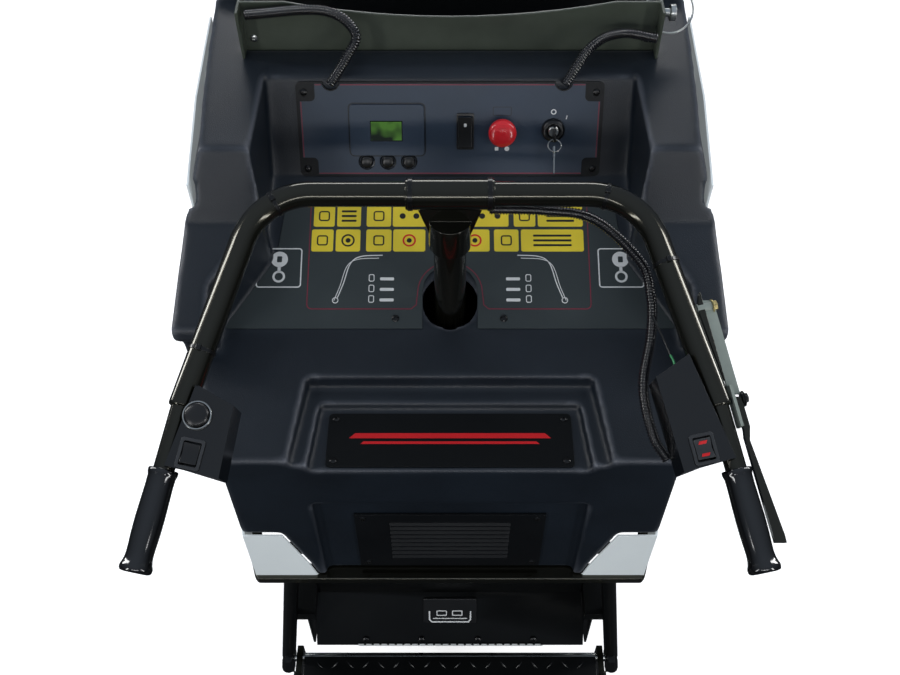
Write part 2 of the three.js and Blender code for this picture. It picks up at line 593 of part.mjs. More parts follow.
// The fork's single leg carries a welded stub axle on each side, with a shoulder and an end cap.
function fork() {
  const crown = block([-34, 34], [-40, 40], [FORK.crownBottom, FORK.crownTop - GAP]);
  const leg = block([-FORK.legHalf, FORK.legHalf], [-32, 32], [REAR_WHEEL.z - 30, FORK.crownBottom + 2]);
  const rimEdge = REAR_WHEEL.width * RIM_EDGE;
  const rimInside = REAR_WHEEL.x - rimEdge - GAP;
  const rimOutside = REAR_WHEEL.x + rimEdge + GAP;
  return union(crown, leg,
    rod([-rimOutside - 8, 0, REAR_WHEEL.z], [rimOutside + 8, 0, REAR_WHEEL.z], FORK.axleRadius),
    rod([-rimInside, 0, REAR_WHEEL.z], [rimInside, 0, REAR_WHEEL.z], 18),
    ...bothSides((side) => rod([side * rimOutside, 0, REAR_WHEEL.z],
      [side * (rimOutside + 8), 0, REAR_WHEEL.z], 18)));
}

place('steering_fork', 'blackPaint', fork());

// ---------------------------------------------------------------- wheels
function tyre({ radius, width, rim }, segments) {
  const half = width / 2;
  const shoulder = radius - 14;
  return turnedAboutX([[rim, -half * 0.8], [rim + 16, -half], [shoulder, -half], [radius, -half * 0.72],
    [radius, half * 0.72], [shoulder, half], [rim + 16, half], [rim, half * 0.8], [rim, -half * 0.8]],
  segments);
}

function rim({ rim: outer, width }, bore, segments) {
  const edge = width * RIM_EDGE;
  const web = 7;
  const radius = outer - GAP;
  return turnedAboutX([[bore, -edge], [bore + 14, -edge], [bore + 14, -web], [radius - 12, -web],
    [radius - 12, -edge], [radius, -edge], [radius, edge], [radius - 12, edge], [radius - 12, web],
    [bore + 14, web], [bore + 14, edge], [bore, edge], [bore, -edge]], segments);
}

function placeWheel(name, wheel, x, y, bore, segments) {
  place(`${name}_tyre`, 'tyre', tyre(wheel, segments).translate(x, y, wheel.z));
  place(`${name}_rim`, 'greyPlastic', rim(wheel, bore, segments).translate(x, y, wheel.z));
}

for (const [side, label] of [[-1, 'left'], [1, 'right']]) {
  const { x, y } = FRONT_WHEEL;
  placeWheel(`front_${label}`, FRONT_WHEEL, side * x, y, HUB_RADIUS + TURNING_GAP, 24);
  placeWheel(`rear_${label}`, REAR_WHEEL, side * REAR_WHEEL.x, 0, FORK.axleRadius + TURNING_GAP, 20);
}

// ---------------------------------------------------------------- chassis
// The leg tubes run from under the bumper down past the platform's hinge pin.
const LEG_TOP = [254, -186, 546];
const LEG_FOOT = [302.2, -241, 163];
const LEG_RADIUS = 12.5;

function chassisFrame() {
  const { inner, outer, bottom, top } = RAIL;
  const crossmember = (y0, y1) => block([-inner - 5, inner + 5], [y0, y1], [bottom, top]);
  const rails = bothSides((side) => block(span(side, inner, outer), [-158.7, 1145], [bottom, top]));
  const [[topX, ...topPoint], [footX, ...footPoint]] = [LEG_TOP, LEG_FOOT];
  const legs = bothSides((side) => rod([side * topX, ...topPoint], [side * footX, ...footPoint], LEG_RADIUS));
  const sidePlates = bothSides((side) => block(span(side, 247, 251), [-216, -120], [222, 330]));
  const legArms = bothSides((side) => block(span(side, outer - 4, 280), [-216, -120], [326, 350]));
  const hingeEars = bothSides((side) => block(span(side, 288, 300), [-256, -216], [178, 226]));
  const posts = bothSides((side) => block(span(side, 255, 284), [-90, -50], [326, 547]));
  const postArms = bothSides((side) => block(span(side, outer - 4, 284), [-90, -50], [326, 350]));
  const frontPosts = bothSides((side) => block(span(side, 168, 198), [280, 305], [top - 5, 975]));
  const tubEars = bothSides((side) => block(span(side, inner, outer), [1095, 1145], [top - 5, 450]));
  const axleSeats = bothSides((side) => block(span(side, inner, outer), [910, 990], [268.5, bottom + 5]));
  const cylinderLugs = bothSides((side) => block(span(side, 31, 41), [360, 424], [306, 356]));
  const headBeam = block([-inner - 5, inner + 5], [-50, 50], [335, 380]);
  const batteryTray = block([-inner - 5, inner + 5], [56, 274], [355, top]);
  const shelf = block([-200, 200], [60, 285], [648, 656]);
  const topBar = block([-172, 172], [280, 305], [945, 975]);
  const controllerPlate = union(block([-257, 257], [-90, -84], [520, 547]),
    block([-190, 190], [-90, -84], [540, 720]));
  const cylinderPin = pinAcross(CYLINDER_BASE, 44, 10);
  const solids = [cylinderPin, ...rails, ...legs, ...legArms, ...sidePlates, ...hingeEars, ...posts,
    ...postArms, ...frontPosts, ...tubEars, ...axleSeats, ...cylinderLugs, crossmember(-158.7, -112),
    crossmember(335, 370), crossmember(1058, 1090), headBeam, batteryTray, shelf, topBar, controllerPlate];
  return cut(union(...solids),
    rod([0, 0, 300], [0, 0, 400], 30, 16),
    pinAcross(PLATFORM_HINGE, 320, 8 + GAP),
    pinAcross(TUB_HINGE, 260, 12 + GAP));
}

function pinAcross({ y, z }, half, radius) {
  return rod([-half, y, z], [half, y, z], radius);
}

place('chassis_frame', 'blackPaint', chassisFrame());
place('steering_bearing', 'steel', cut(rod([0, 0, 335], [0, 0, 380], 30 - GAP, 16),
  rod([0, 0, 330], [0, 0, 390], COLUMN_RADIUS + TURNING_GAP, 16)));
place('tub_hinge_pin', 'steel', pinAcross(TUB_HINGE, 250, 12));
place('platform_hinge_pin', 'steel', pinAcross(PLATFORM_HINGE, 304, 8));

place('battery_pack', 'greyPlastic', block([-178, 178], [62, 270], [RAIL.top + GAP, 632]));
place('motor_controller', 'silverPaint', block([-105, 105], [-186, -90 - GAP], [596, 706]));
place('battery_charger', 'greyPlastic', block([-182, -20], [70, 250], [656 + GAP, 745]));
place('hydraulic_power_pack', 'blackPaint', union(block([6, 182], [70, 180], [656 + GAP, 770]),
  rod([94, 170, 712], [94, 262, 712], 44, 16)));

function driveAxle() {
  const { x, y, z, width } = FRONT_WHEEL;
  const rimEdge = x + width * RIM_EDGE;
  return union(rod([-262, y, z], [262, y, z], 38, 16), rod([-72, y, z], [72, y, z], 72, 16),
    rod([40, y - 190, z], [40, y, z], 55, 16), rod([-388, y, z], [388, y, z], HUB_RADIUS, 16),
    ...bothSides((side) => rod([side * (rimEdge + GAP), y, z], [side * 388, y, z], 32, 16)));
}

place('drive_axle', 'blackPaint', driveAxle());

// ---------------------------------------------------------------- tub and lift
const TUB_WALL = 8;

function tubBody(top) {
  const rearSlope = 54 / 612;
  const frontSlope = 385 / 640;
  const side = sideways([[482 + (top - 1160) * rearSlope, top], [428, 548], [455, TUB_FLOOR_Z],
    [1050, TUB_FLOOR_Z], [1085, 528], [1470 + (top - 1160) * frontSlope, top]], -380, 380);
  const taper = endways(mirrored([[372, 1160], [296, 500]]), 300, 1600);
  const upright = block([-372, 372], [300, 1600], [1155, 1260]);
  return common(side, union(taper, upright));
}

function tub() {
  const rimOutline = roundedRectangle(770, TUB_LIP_Y - TUB_RIM_REAR, 60, 0, (TUB_LIP_Y + TUB_RIM_REAR) / 2);
  const rimSlab = slab(rimOutline, TUB_RIM_Z - 24, TUB_RIM_Z);
  const outside = union(tubBody(1160), rimSlab);
  return cut(outside, spaceInside(tubBody(1200), TUB_WALL, 1));
}

function tubFrame() {
  const top = TUB_FLOOR_Z - GAP;
  const channels = bothSides((side) => block(span(side, 150, 180), [470, 1145], [455, top]));
  const lugs = bothSides((side) => block(span(side, 150, 180), [1095, 1145], [396, 460]));
  const cylinderLugs = bothSides((side) => block(span(side, 20, 30), [892, 1004], [452, top]));
  const crossbars = [[500, 530], [1000, 1030]].map((range) => block([-155, 155], range, [472, top]));
  return cut(union(...channels, ...lugs, ...cylinderLugs, ...crossbars),
    pinAcross(TUB_HINGE, 260, 12 + TURNING_GAP));
}

// The lift cylinder lies along the line from its base pin to the lug under the tub.
const lift = new THREE.Group();
lift.position.set(0, CYLINDER_BASE.y, CYLINDER_BASE.z);
lift.rotation.x = Math.atan2(CYLINDER_LUG.z - CYLINDER_BASE.z, CYLINDER_LUG.y - CYLINDER_BASE.y);
machine.add(lift);
const LIFT_LENGTH = Math.hypot(CYLINDER_LUG.z - CYLINDER_BASE.z, CYLINDER_LUG.y - CYLINDER_BASE.y);

place('tub', 'texturedPlastic', tub());
place('tub_frame', 'blackPaint', tubFrame());
place('cylinder_barrel', 'blackPaint', cut(
  union(rod([0, 16, 0], [0, 400, 0], 30, 16), rod([-29, 0, 0], [29, 0, 0], 24, 16)),
  rod([0, 62, 0], [0, 410, 0], 16 + GAP), rod([-40, 0, 0], [40, 0, 0], 10 + TURNING_GAP)), lift);
place('cylinder_rod', 'steel', cut(
  union(rod([0, 72, 0], [0, LIFT_LENGTH - 10, 0], 16),
    rod([-14, LIFT_LENGTH, 0], [14, LIFT_LENGTH, 0], 22, 16)),
  rod([-20, LIFT_LENGTH, 0], [20, LIFT_LENGTH, 0], 10)), lift);

// ---------------------------------------------------------------- platform
const DECK = { half: 267, front: -240, rear: PLATFORM_END_Y + 14, bottom: 209, top: 215 };

function platformFrame() {
  const [tubeX, tubeZ, tubeRadius] = [290, 190, 12.5];
  const rearY = PLATFORM_END_Y + 14;
  const tubes = bothSides((side) => rod(
    [side * tubeX, -278, tubeZ], [side * tubeX, rearY, tubeZ], tubeRadius));
  const rear = rod([-tubeX, rearY, tubeZ], [tubeX, rearY, tubeZ], tubeRadius);
  const corners = bothSides((side) => rod([side * tubeX, rearY, tubeZ - tubeRadius],
    [side * tubeX, rearY, tubeZ + tubeRadius], 14));
  const ears = bothSides((side) => block(span(side, 270, 281), [-270, -220], [182, 216]));
  const joints = bothSides((side) => block(span(side, 275, 286), [-296, -262], [182, 200]));
  const bearers = [-300, -640].map((y) => block([-285, 285], [y - 15, y + 15], [184, DECK.bottom - GAP]));
  return cut(union(...tubes, rear, ...corners, ...ears, ...joints, ...bearers),
    pinAcross(PLATFORM_HINGE, 320, 8 + TURNING_GAP));
}

place('platform_frame', 'blackPaint', platformFrame());
place('platform_deck', 'satinBlack', block([-DECK.half, DECK.half], [DECK.rear, DECK.front],
  [DECK.bottom, DECK.top]));

export default machine;
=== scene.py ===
"""Looks of the ride-on tub buggy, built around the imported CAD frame. Metres, +Z up, +Y forward."""

import math

import bmesh
import bpy
from mathutils import Matrix, Vector


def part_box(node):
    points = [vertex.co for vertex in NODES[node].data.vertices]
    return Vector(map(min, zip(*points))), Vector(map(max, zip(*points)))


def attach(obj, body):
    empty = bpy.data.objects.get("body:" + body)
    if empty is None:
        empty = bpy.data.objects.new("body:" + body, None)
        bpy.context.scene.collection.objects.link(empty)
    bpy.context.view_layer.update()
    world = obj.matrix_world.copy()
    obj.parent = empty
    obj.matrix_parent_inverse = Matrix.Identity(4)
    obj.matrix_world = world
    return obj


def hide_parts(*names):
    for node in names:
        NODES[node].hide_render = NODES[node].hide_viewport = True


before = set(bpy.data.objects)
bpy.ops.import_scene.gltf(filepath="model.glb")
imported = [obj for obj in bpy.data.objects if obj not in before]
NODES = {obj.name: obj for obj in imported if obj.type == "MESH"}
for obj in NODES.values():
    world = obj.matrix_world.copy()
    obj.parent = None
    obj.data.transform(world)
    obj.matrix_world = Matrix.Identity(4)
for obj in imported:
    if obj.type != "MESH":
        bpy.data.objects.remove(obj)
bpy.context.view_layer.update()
MM = 0.001


# ---------------------------------------------------------------- places, read from the frame
def shift(x, y, z=0):
    """A move in mm."""
    return Matrix.Translation((x * MM, y * MM, z * MM))


def spin(degrees, axis):
    """A turn in degrees about X, Y or Z."""
    return Matrix.Rotation(math.radians(degrees), 4, axis)


def centre(node):
    low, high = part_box(node)
    return (low + high) / 2


COLUMN_Y = centre("steering_column").y


def tipped(y, z, slope):
    """A plane across the machine that rises forwards by slope degrees. Its local Z is its outward normal."""
    return Matrix.Translation((0, COLUMN_Y + y * MM, z * MM)) @ spin(slope, "X")


def facing_back(y, z):
    """An upright plane that faces the operator: local X across, local Y up, local Z backwards."""
    return tipped(y, z, 90)


DASH = tipped(218.5, 1068.75, 63.5)
CONSOLE = tipped(69, 962.5, 20.2)
BAR = tipped(0, 1150, 22.7)
SPLAY = math.radians(11.8)
LEG_SPLAY = math.radians(16.2)
KNEE = Vector((317.55, 270))  # where the thick leg meets the grip's line: across, back
BAR_BEND = 88
BAR_RADIUS = 16
BEND_REACH = BAR_BEND * math.tan((math.pi / 2 - LEG_SPLAY) / 2)
BEND_BACK = BEND_REACH * math.cos(LEG_SPLAY)
BAR_STRAIGHT = KNEE.x - KNEE.y * math.tan(LEG_SPLAY) - BEND_REACH


def beside_leg(side, back, outside=0.0, height=0.0):
    """A point beside a grip's centre line: how far back along the slope and how far outside the line."""
    x = KNEE.x + (back - KNEE.y) * math.tan(SPLAY) + outside / math.cos(SPLAY)
    return Vector((side * x, -back, height))


def on_leg(side, back):
    """A point on the thick leg's centre line."""
    return Vector((side * (KNEE.x + (back - KNEE.y) * math.tan(LEG_SPLAY)), -back, 0))


# ---------------------------------------------------------------- materials
MATERIALS = {}
CREASE_HIGHLIGHT_FROM = 0.506  # pointiness at which a painted highlight starts on a crease, and where it is full
CREASE_HIGHLIGHT_FULL = 0.56
CREASE_HIGHLIGHT_TINT = (0.90, 0.95, 1.10)


def node_tree(name):
    material = bpy.data.materials.new(name)
    material.use_nodes = True
    tree = material.node_tree
    return material, tree, tree.nodes["Principled BSDF"]


def add_node(tree, kind, **values):
    node = tree.nodes.new(kind)
    for key, value in values.items():
        if key in node.inputs:
            node.inputs[key].default_value = value
        else:
            setattr(node, key, value)
    return node


def surface(name, colour, roughness, metallic=0.0, coat=0.0, coat_roughness=0.05, grain=0.4, relief=0.1,
            patch=60.0, variation=0.25, edge=0.0, stretch=(1, 1, 1), glint=(1, 1, 1), shine=0.5, lift=0.0):
    """A painted, moulded or metal surface. grain is the relief's size in mm and relief its height in mm.

    patch is the size in mm of the slow change in tone and roughness, and edge paints a bluish highlight on
    convex creases.
    shine is the strength of the clear reflection and lift the white floor's light caught by a pale finish.
    """
    material, tree, shader = node_tree(name)
    link = tree.links.new
    place = add_node(tree, "ShaderNodeTexCoord")
    mapping = add_node(tree, "ShaderNodeMapping")
    mapping.inputs["Scale"].default_value = stretch
    link(place.outputs["Object"], mapping.inputs["Vector"])
    fine = add_node(tree, "ShaderNodeTexNoise", Scale=1 / (grain * MM), Detail=3.0, Roughness=0.55)
    slow = add_node(tree, "ShaderNodeTexNoise", Scale=1 / (patch * MM), Detail=4.0, Roughness=0.6)
    link(mapping.outputs["Vector"], fine.inputs["Vector"])
    link(mapping.outputs["Vector"], slow.inputs["Vector"])
    ramp = add_node(tree, "ShaderNodeValToRGB")
    ramp.color_ramp.elements[0].position = 0.3
    ramp.color_ramp.elements[1].position = 0.75
    ramp.color_ramp.elements[0].color = (*[c * (1 - variation) for c in colour], 1)
    ramp.color_ramp.elements[1].color = (*[min(1, c * (1 + variation)) for c in colour], 1)
    link(slow.outputs["Fac"], ramp.inputs["Fac"])
    base = ramp.outputs["Color"]
    # Painted highlight: convex creases, found by pointiness, are lightened towards a bluish white, speckled
    # by the fine noise.
    if edge:
        geometry = add_node(tree, "ShaderNodeNewGeometry")
        crease_highlight = add_node(tree, "ShaderNodeMapRange")
        crease_highlight.inputs["From Min"].default_value = CREASE_HIGHLIGHT_FROM
        crease_highlight.inputs["From Max"].default_value = CREASE_HIGHLIGHT_FULL
        link(geometry.outputs["Pointiness"], crease_highlight.inputs["Value"])
        highlight_speckle = add_node(tree, "ShaderNodeMath", operation="MULTIPLY")
        link(crease_highlight.outputs["Result"], highlight_speckle.inputs[0])
        link(fine.outputs["Fac"], highlight_speckle.inputs[1])
        mix = add_node(tree, "ShaderNodeMix", data_type="RGBA")
        mix.inputs["B"].default_value = (*[edge * share for share in CREASE_HIGHLIGHT_TINT], 1)
        link(highlight_speckle.outputs["Value"], mix.inputs["Factor"])
        link(base, mix.inputs["A"])
        base = mix.outputs["Result"]
    link(base, shader.inputs["Base Color"])
    rough = add_node(tree, "ShaderNodeMapRange")
    rough.inputs["To Min"].default_value = roughness * 0.85
    rough.inputs["To Max"].default_value = min(1.0, roughness * 1.15)
    link(slow.outputs["Fac"], rough.inputs["Value"])
    link(rough.outputs["Result"], shader.inputs["Roughness"])
    bump = add_node(tree, "ShaderNodeBump", Strength=1.0, Distance=relief * MM)
    link(fine.outputs["Fac"], bump.inputs["Height"])
    link(bump.outputs["Normal"], shader.inputs["Normal"])
    shader.inputs["Metallic"].default_value = metallic
    shader.inputs["Specular IOR Level"].default_value = shine
    # Painted light: the base colour also glows, standing in for light the finish catches.
    if lift:
        link(base, shader.inputs["Emission Color"])
        shader.inputs["Emission Strength"].default_value = lift
    shader.inputs["Coat Weight"].default_value = coat
    shader.inputs["Specular Tint"].default_value = (*glint, 1)
    shader.inputs["Coat Roughness"].default_value = coat_roughness
    MATERIALS[name] = material
    return material


def glowing(name, colour, glow, strength):
    """A lit screen: the glow fades towards one corner."""
    material, tree, shader = node_tree(name)
    place = add_node(tree, "ShaderNodeTexCoord")
    gradient = add_node(tree, "ShaderNodeTexNoise", Scale=45.0, Detail=1.0)
    tree.links.new(place.outputs["Object"], gradient.inputs["Vector"])
    ramp = add_node(tree, "ShaderNodeValToRGB")
    ramp.color_ramp.elements[0].position = 0.42
    ramp.color_ramp.elements[0].color = (*colour, 1)
    ramp.color_ramp.elements[1].position = 0.62
    ramp.color_ramp.elements[1].color = (*glow, 1)
    tree.links.new(gradient.outputs["Fac"], ramp.inputs["Fac"])
    tree.links.new(ramp.outputs["Color"], shader.inputs["Base Color"])
    tree.links.new(ramp.outputs["Color"], shader.inputs["Emission Color"])
    shader.inputs["Emission Strength"].default_value = strength
    shader.inputs["Roughness"].default_value = 0.08
    MATERIALS[name] = material
    return material


# edge paints speckled highlights on the hood's creases and, faintly, on the tub's.
surface("hood_plastic", (0.0074, 0.0118, 0.0185), 0.40, grain=1.5, relief=0.35, patch=160, variation=0.25,
        edge=0.30)
surface("tub_plastic", (0.008, 0.009, 0.011), 0.50, grain=1.5, relief=0.3, patch=200, variation=0.3,
        edge=0.04)
surface("black_paint", (0.0042, 0.0042, 0.0028), 0.16, coat=0.4, grain=2.6, relief=0.03, patch=90,
        variation=0.3,
        glint=(1.0, 0.95, 0.74))
surface("frame_paint", (0.0026, 0.0030, 0.0031), 0.30, coat=0.1, coat_roughness=0.2, grain=1.6, relief=0.05,
        patch=120, shine=0.35)
surface("box_paint", (0.0025, 0.0025, 0.0026), 0.20, coat=0.4, grain=1.4, relief=0.03, patch=60)
surface("satin_sheet", (0.0036, 0.0044, 0.0055), 0.42, grain=0.7, relief=0.05, patch=80, variation=0.18,
        shine=0.28)
# Painted reflection: the glossy black tub rest plate gets an olive tone that stands in for the room it
# reflects.
surface("rest_plate_reflection", (0.066, 0.078, 0.060), 0.30, coat=0.3, grain=1.6, relief=0.03, patch=120,
        variation=0.25)
surface("console_sheet", (0.0310, 0.0410, 0.0430), 0.55, grain=0.8, relief=0.06, patch=120, variation=0.12)
# A dark satin tone with a painted bluish sheen in it, standing in for the glare the sheet reflects.
surface("dash_overlay", (0.0270, 0.0450, 0.0750), 0.42, grain=0.6, relief=0.03, patch=150, variation=0.15)
surface("nameplate_sheet", (0.0022, 0.0028, 0.0032), 0.48, grain=0.7, relief=0.06, patch=90, variation=0.15,
        shine=0.2)
# Painted light: lift makes the silver panels glow with their own colour, standing in for the white floor's
# light they catch.
surface("silver_paint", (0.78, 0.84, 0.85), 0.34, metallic=0.1, coat=0.3, grain=1.2, relief=0.02, patch=200,
        variation=0.06, lift=0.20)
# The silver link bar is drawn as a flat greenish grey non-metal: its reflections are painted into the colour.
surface("link_bar_painted_reflection", (0.30, 0.34, 0.30), 0.45, grain=0.9, relief=0.03, patch=50, variation=0.12)
surface("rubber", (0.0035, 0.0035, 0.0038), 0.34, coat=0.2, coat_roughness=0.25, grain=1.1, relief=0.05,
        patch=35)
surface("grip_rubber", (0.0022, 0.0022, 0.0024), 0.13, coat=0.8, coat_roughness=0.06, grain=2.0, relief=0.05,
        patch=30)
surface("conduit_plastic", (0.006, 0.006, 0.008), 0.20, coat=1.0, coat_roughness=0.15, grain=1.0, relief=0.02)
surface("tyre", (0.014, 0.014, 0.014), 0.82, grain=1.6, relief=0.25, patch=70, variation=0.35)
surface("steel", (0.55, 0.56, 0.54), 0.28, metallic=1.0, grain=0.8, relief=0.03, patch=40, variation=0.2,
        stretch=(1, 1, 0.15))
surface("zinc_yellow", (0.62, 0.50, 0.22), 0.3, metallic=0.9, grain=0.7, relief=0.03, patch=12, variation=0.4)
surface("bright_strip", (0.78, 0.80, 0.78), 0.45, metallic=0.35, grain=0.8, relief=0.05, patch=60,
        variation=0.1)
surface("black_steel", (0.010, 0.010, 0.010), 0.28, metallic=0.6, coat=0.4, grain=0.6, relief=0.04, patch=20)
surface("red_plastic", (0.72, 0.012, 0.02), 0.30, coat=0.5, grain=0.7, relief=0.02, patch=25, variation=0.12)
surface("grey_plastic", (0.030, 0.032, 0.035), 0.42, grain=0.6, relief=0.06, patch=40, variation=0.2)
surface("red_print", (0.70, 0.006, 0.010), 0.42, grain=0.8, relief=0.02, patch=60, variation=0.06)
surface("border_print", (0.22, 0.022, 0.045), 0.45, grain=0.6, relief=0.01, patch=60, variation=0.12)
surface("yellow_print", (0.90, 0.70, 0.035), 0.42, grain=0.8, relief=0.02, patch=60, variation=0.05)
surface("white_print", (0.78, 0.79, 0.78), 0.45, grain=0.6, relief=0.01, patch=60, variation=0.05)
surface("black_print", (0.008, 0.008, 0.008), 0.45, grain=0.6, relief=0.01, patch=60, variation=0.1)
surface("smoked_lens", (0.004, 0.005, 0.005), 0.06, coat=1.0, grain=3.0, relief=0.005, patch=40)
glowing("lit_screen", (0.006, 0.010, 0.006), (0.05, 0.13, 0.02), 0.6)
surface("green_wire", (0.05, 0.35, 0.12), 0.35, grain=0.5, relief=0.02, patch=10)


# ---------------------------------------------------------------- making pieces
def add_modifier(obj, kind, **values):
    modifier = obj.modifiers.new(kind.lower(), kind)
    for key, value in values.items():
        setattr(modifier, key, value)
    return modifier


def paint(obj, material):
    obj.data.materials.clear()
    obj.data.materials.append(MATERIALS[material])


def register(name, data, body, material):
    obj = bpy.data.objects.new(name, data)
    bpy.context.scene.collection.objects.link(obj)
    paint(obj, material)
    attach(obj, body)
    return obj


def smooth_sides(mesh, angle=35):
    mesh.polygons.foreach_set("use_smooth", [True] * len(mesh.polygons))
    mesh.set_sharp_from_angle(angle=math.radians(angle))


def rounded_edges(obj, width, segments=3, angle=35):
    add_modifier(obj, "BEVEL", width=width * MM, segments=segments, limit_method="ANGLE",
                 angle_limit=math.radians(angle), harden_normals=True)


def from_bmesh(name, bm, where, body, material, bevel=0.0, segments=3, angle=35):
    bmesh.ops.remove_doubles(bm, verts=bm.verts, dist=1e-6)
    bmesh.ops.recalc_face_normals(bm, faces=bm.faces)
    mesh = bpy.data.meshes.new(name)
    bm.to_mesh(mesh)
    bm.free()
    mesh.transform(where)
    smooth_sides(mesh, angle)
    obj = register(name, mesh, body, material)
    if bevel:
        rounded_edges(obj, bevel, segments, angle)
    return obj


def skin(bm, rows, capped=False):
    """Quads between rings with the same number of corners, and a face over each end if capped."""
    for near, far in zip(rows, rows[1:]):
        for side in range(len(near)):
            after = (side + 1) % len(near)
            bm.faces.new((near[side], near[after], far[after], far[side]))
    if capped:
        bm.faces.new(rows[0])
        bm.faces.new(rows[-1])


def turned(name, where, profile, body, material, sides=48, bevel=0.0, angle=35):
    """A profile of (radius, height) in mm, turned about local Z. Off the axis, it closes on itself."""
    bm = bmesh.new()
    rings = []
    for radius, height in profile:
        count = 1 if radius == 0 else sides
        rings.append([
            bm.verts.new((
                radius * MM * math.cos(2 * math.pi * step / sides),
                radius * MM * math.sin(2 * math.pi * step / sides),
                height * MM,
            ))
            for step in range(count)
        ])
    pairs = list(zip(rings, rings[1:]))
    if len(rings[0]) > 1:
        pairs.append((rings[-1], rings[0]))
    for low, high in pairs:
        for step in range(sides):
            after = step + 1
            corners = [low[step % len(low)], low[after % len(low)], high[after % len(high)],
                       high[step % len(high)]]
            corners = list(dict.fromkeys(corners))
            if len(corners) > 2:
                bm.faces.new(corners)
    return from_bmesh(name, bm, where, body, material, bevel, 2, angle)


def plate(name, where, outline, low, high, body, material, bevel=0.0, segments=2):
    """An outline of (x, y) points in mm, filled, from height low to height high above the local plane."""
    bm = bmesh.new()
    corners = [bm.verts.new((x * MM, y * MM, low * MM)) for x, y in outline]
    face = bm.faces.new(corners)
    grown = bmesh.ops.extrude_face_region(bm, geom=[face])
    lifted = [item for item in grown["geom"] if isinstance(item, bmesh.types.BMVert)]
    bmesh.ops.translate(bm, verts=lifted, vec=(0, 0, (high - low) * MM))
    return from_bmesh(name, bm, where, body, material, bevel, segments)


def rectangle(width, height, radius=0.0, x=0.0, y=0.0, steps=6):
    if not radius:
        return [(x - width / 2, y - height / 2), (x + width / 2, y - height / 2),
                (x + width / 2, y + height / 2), (x - width / 2, y + height / 2)]
    points = []
    for quarter, (side_x, side_y) in enumerate(((1, -1), (1, 1), (-1, 1), (-1, -1))):
        for step in range(steps + 1):
            angle = math.radians(90 * (quarter - 1) + 90 * step / steps)
            points.append((
                x + side_x * (width / 2 - radius) + radius * math.cos(angle),
                y + side_y * (height / 2 - radius) + radius * math.sin(angle),
            ))
    return points


def circle(radius, x=0.0, y=0.0, steps=28, start=0.0, end=360.0):
    count = steps if end - start >= 360 else steps + 1
    return [
        (x + radius * math.cos(math.radians(start + (end - start) * step / steps)),
         y + radius * math.sin(math.radians(start + (end - start) * step / steps)))
        for step in range(count)
    ]


def hoop(radius, step):
    """Points round a whole circle, one every step degrees."""
    turns = [math.radians(degrees) for degrees in range(0, 361, step)]
    return [Vector((radius * math.cos(turn), radius * math.sin(turn), 0)) for turn in turns]


def line(name, where, points, width, low, high, body, material, closed=False):
    """A printed or bent line of even width along (x, y) points in mm, mitred at its corners."""
    count = len(points)
    ring = []
    for index, point in enumerate(points):
        here = Vector(point)
        before = Vector(points[index - 1]) if index or closed else None
        after = Vector(points[(index + 1) % count]) if index < count - 1 or closed else None
        into = (here - before).normalized() if before is not None else None
        out = (after - here).normalized() if after is not None else None
        along = (into + out) if into is not None and out is not None else (into or out)
        along = along.normalized() if along.length > 1e-6 else out
        across = Vector((-along.y, along.x))
        reach = width / 2
        if into is not None and out is not None:
            reach /= max(0.35, across.dot(Vector((-into.y, into.x))))
        ring.append((here + across * reach, here - across * reach))
    bm = bmesh.new()
    rows = [
        [bm.verts.new((p.x * MM, p.y * MM, z * MM)) for p, z in
         ((left, low), (right, low), (right, high), (left, high))]
        for left, right in ring
    ]
    skin(bm, rows + rows[:1] if closed else rows, capped=not closed)
    return from_bmesh(name, bm, where, body, material)


def smooth_path(points, per_span=12):
    """A curve through all the points (Catmull-Rom)."""
    path = [Vector(point) for point in points]
    path = [2 * path[0] - path[1]] + path + [2 * path[-1] - path[-2]]
    out = []
    for a, b, c, d in zip(path, path[1:], path[2:], path[3:]):
        for step in range(per_span):
            t = step / per_span
            out.append(0.5 * (2 * b + (c - a) * t + (2 * a - 5 * b + 4 * c - d) * t ** 2
                              + (3 * b - a - 3 * c + d) * t ** 3))
    out.append(path[-2])
    return out


def evenly(points, spacing):
    """The same path with points at an even spacing."""
    out = [points[0]]
    left = spacing
    for start, end in zip(points, points[1:]):
        length = (end - start).length
        done = 0.0
        while length - done >= left:
            done += left
            out.append(start.lerp(end, done / length))
            left = spacing
        left -= length - done
    return out


def swept(name, where, points, radii, body, material, sides=16):
    """A round bar along points in mm. radii is one radius or one for each point."""
    if not isinstance(radii, (list, tuple)):
        radii = [radii] * len(points)
    bm = bmesh.new()
    rings = []
    up = Vector((0, 0, 1))
    for index, point in enumerate(points):
        ahead = points[min(index + 1, len(points) - 1)]
        behind = points[max(index - 1, 0)]
        along = (ahead - behind).normalized()
        if abs(along.dot(up)) > 0.95:
            up = Vector((0, 1, 0)) if abs(along.y) < 0.9 else Vector((1, 0, 0))
        side = along.cross(up).normalized()
        up = side.cross(along).normalized()
        rings.append([
            bm.verts.new((point + radii[index] * (side * math.cos(2 * math.pi * step / sides)
                                                  + up * math.sin(2 * math.pi * step / sides))) * MM)
            for step in range(sides)
        ])
    skin(bm, rings, capped=True)
    return from_bmesh(name, bm, where, body, material, angle=50)


def ribbed(name, where, points, radius, body, pitch=3.8, depth=1.6):
    """A corrugated conduit along points in mm."""
    path = evenly(smooth_path(points), pitch / 4)
    wave = (0.0, 0.85, 1.0, 0.15)
    radii = [radius - depth + depth * wave[index % 4] for index in range(len(path))]
    return swept(name, where, path, radii, body, "conduit_plastic", sides=14)


def final_mesh(obj):
    """The object's mesh with its modifiers applied."""
    bpy.context.view_layer.update()
    graph = bpy.context.evaluated_depsgraph_get()
    return bpy.data.meshes.new_from_object(obj.evaluated_get(graph), depsgraph=graph)


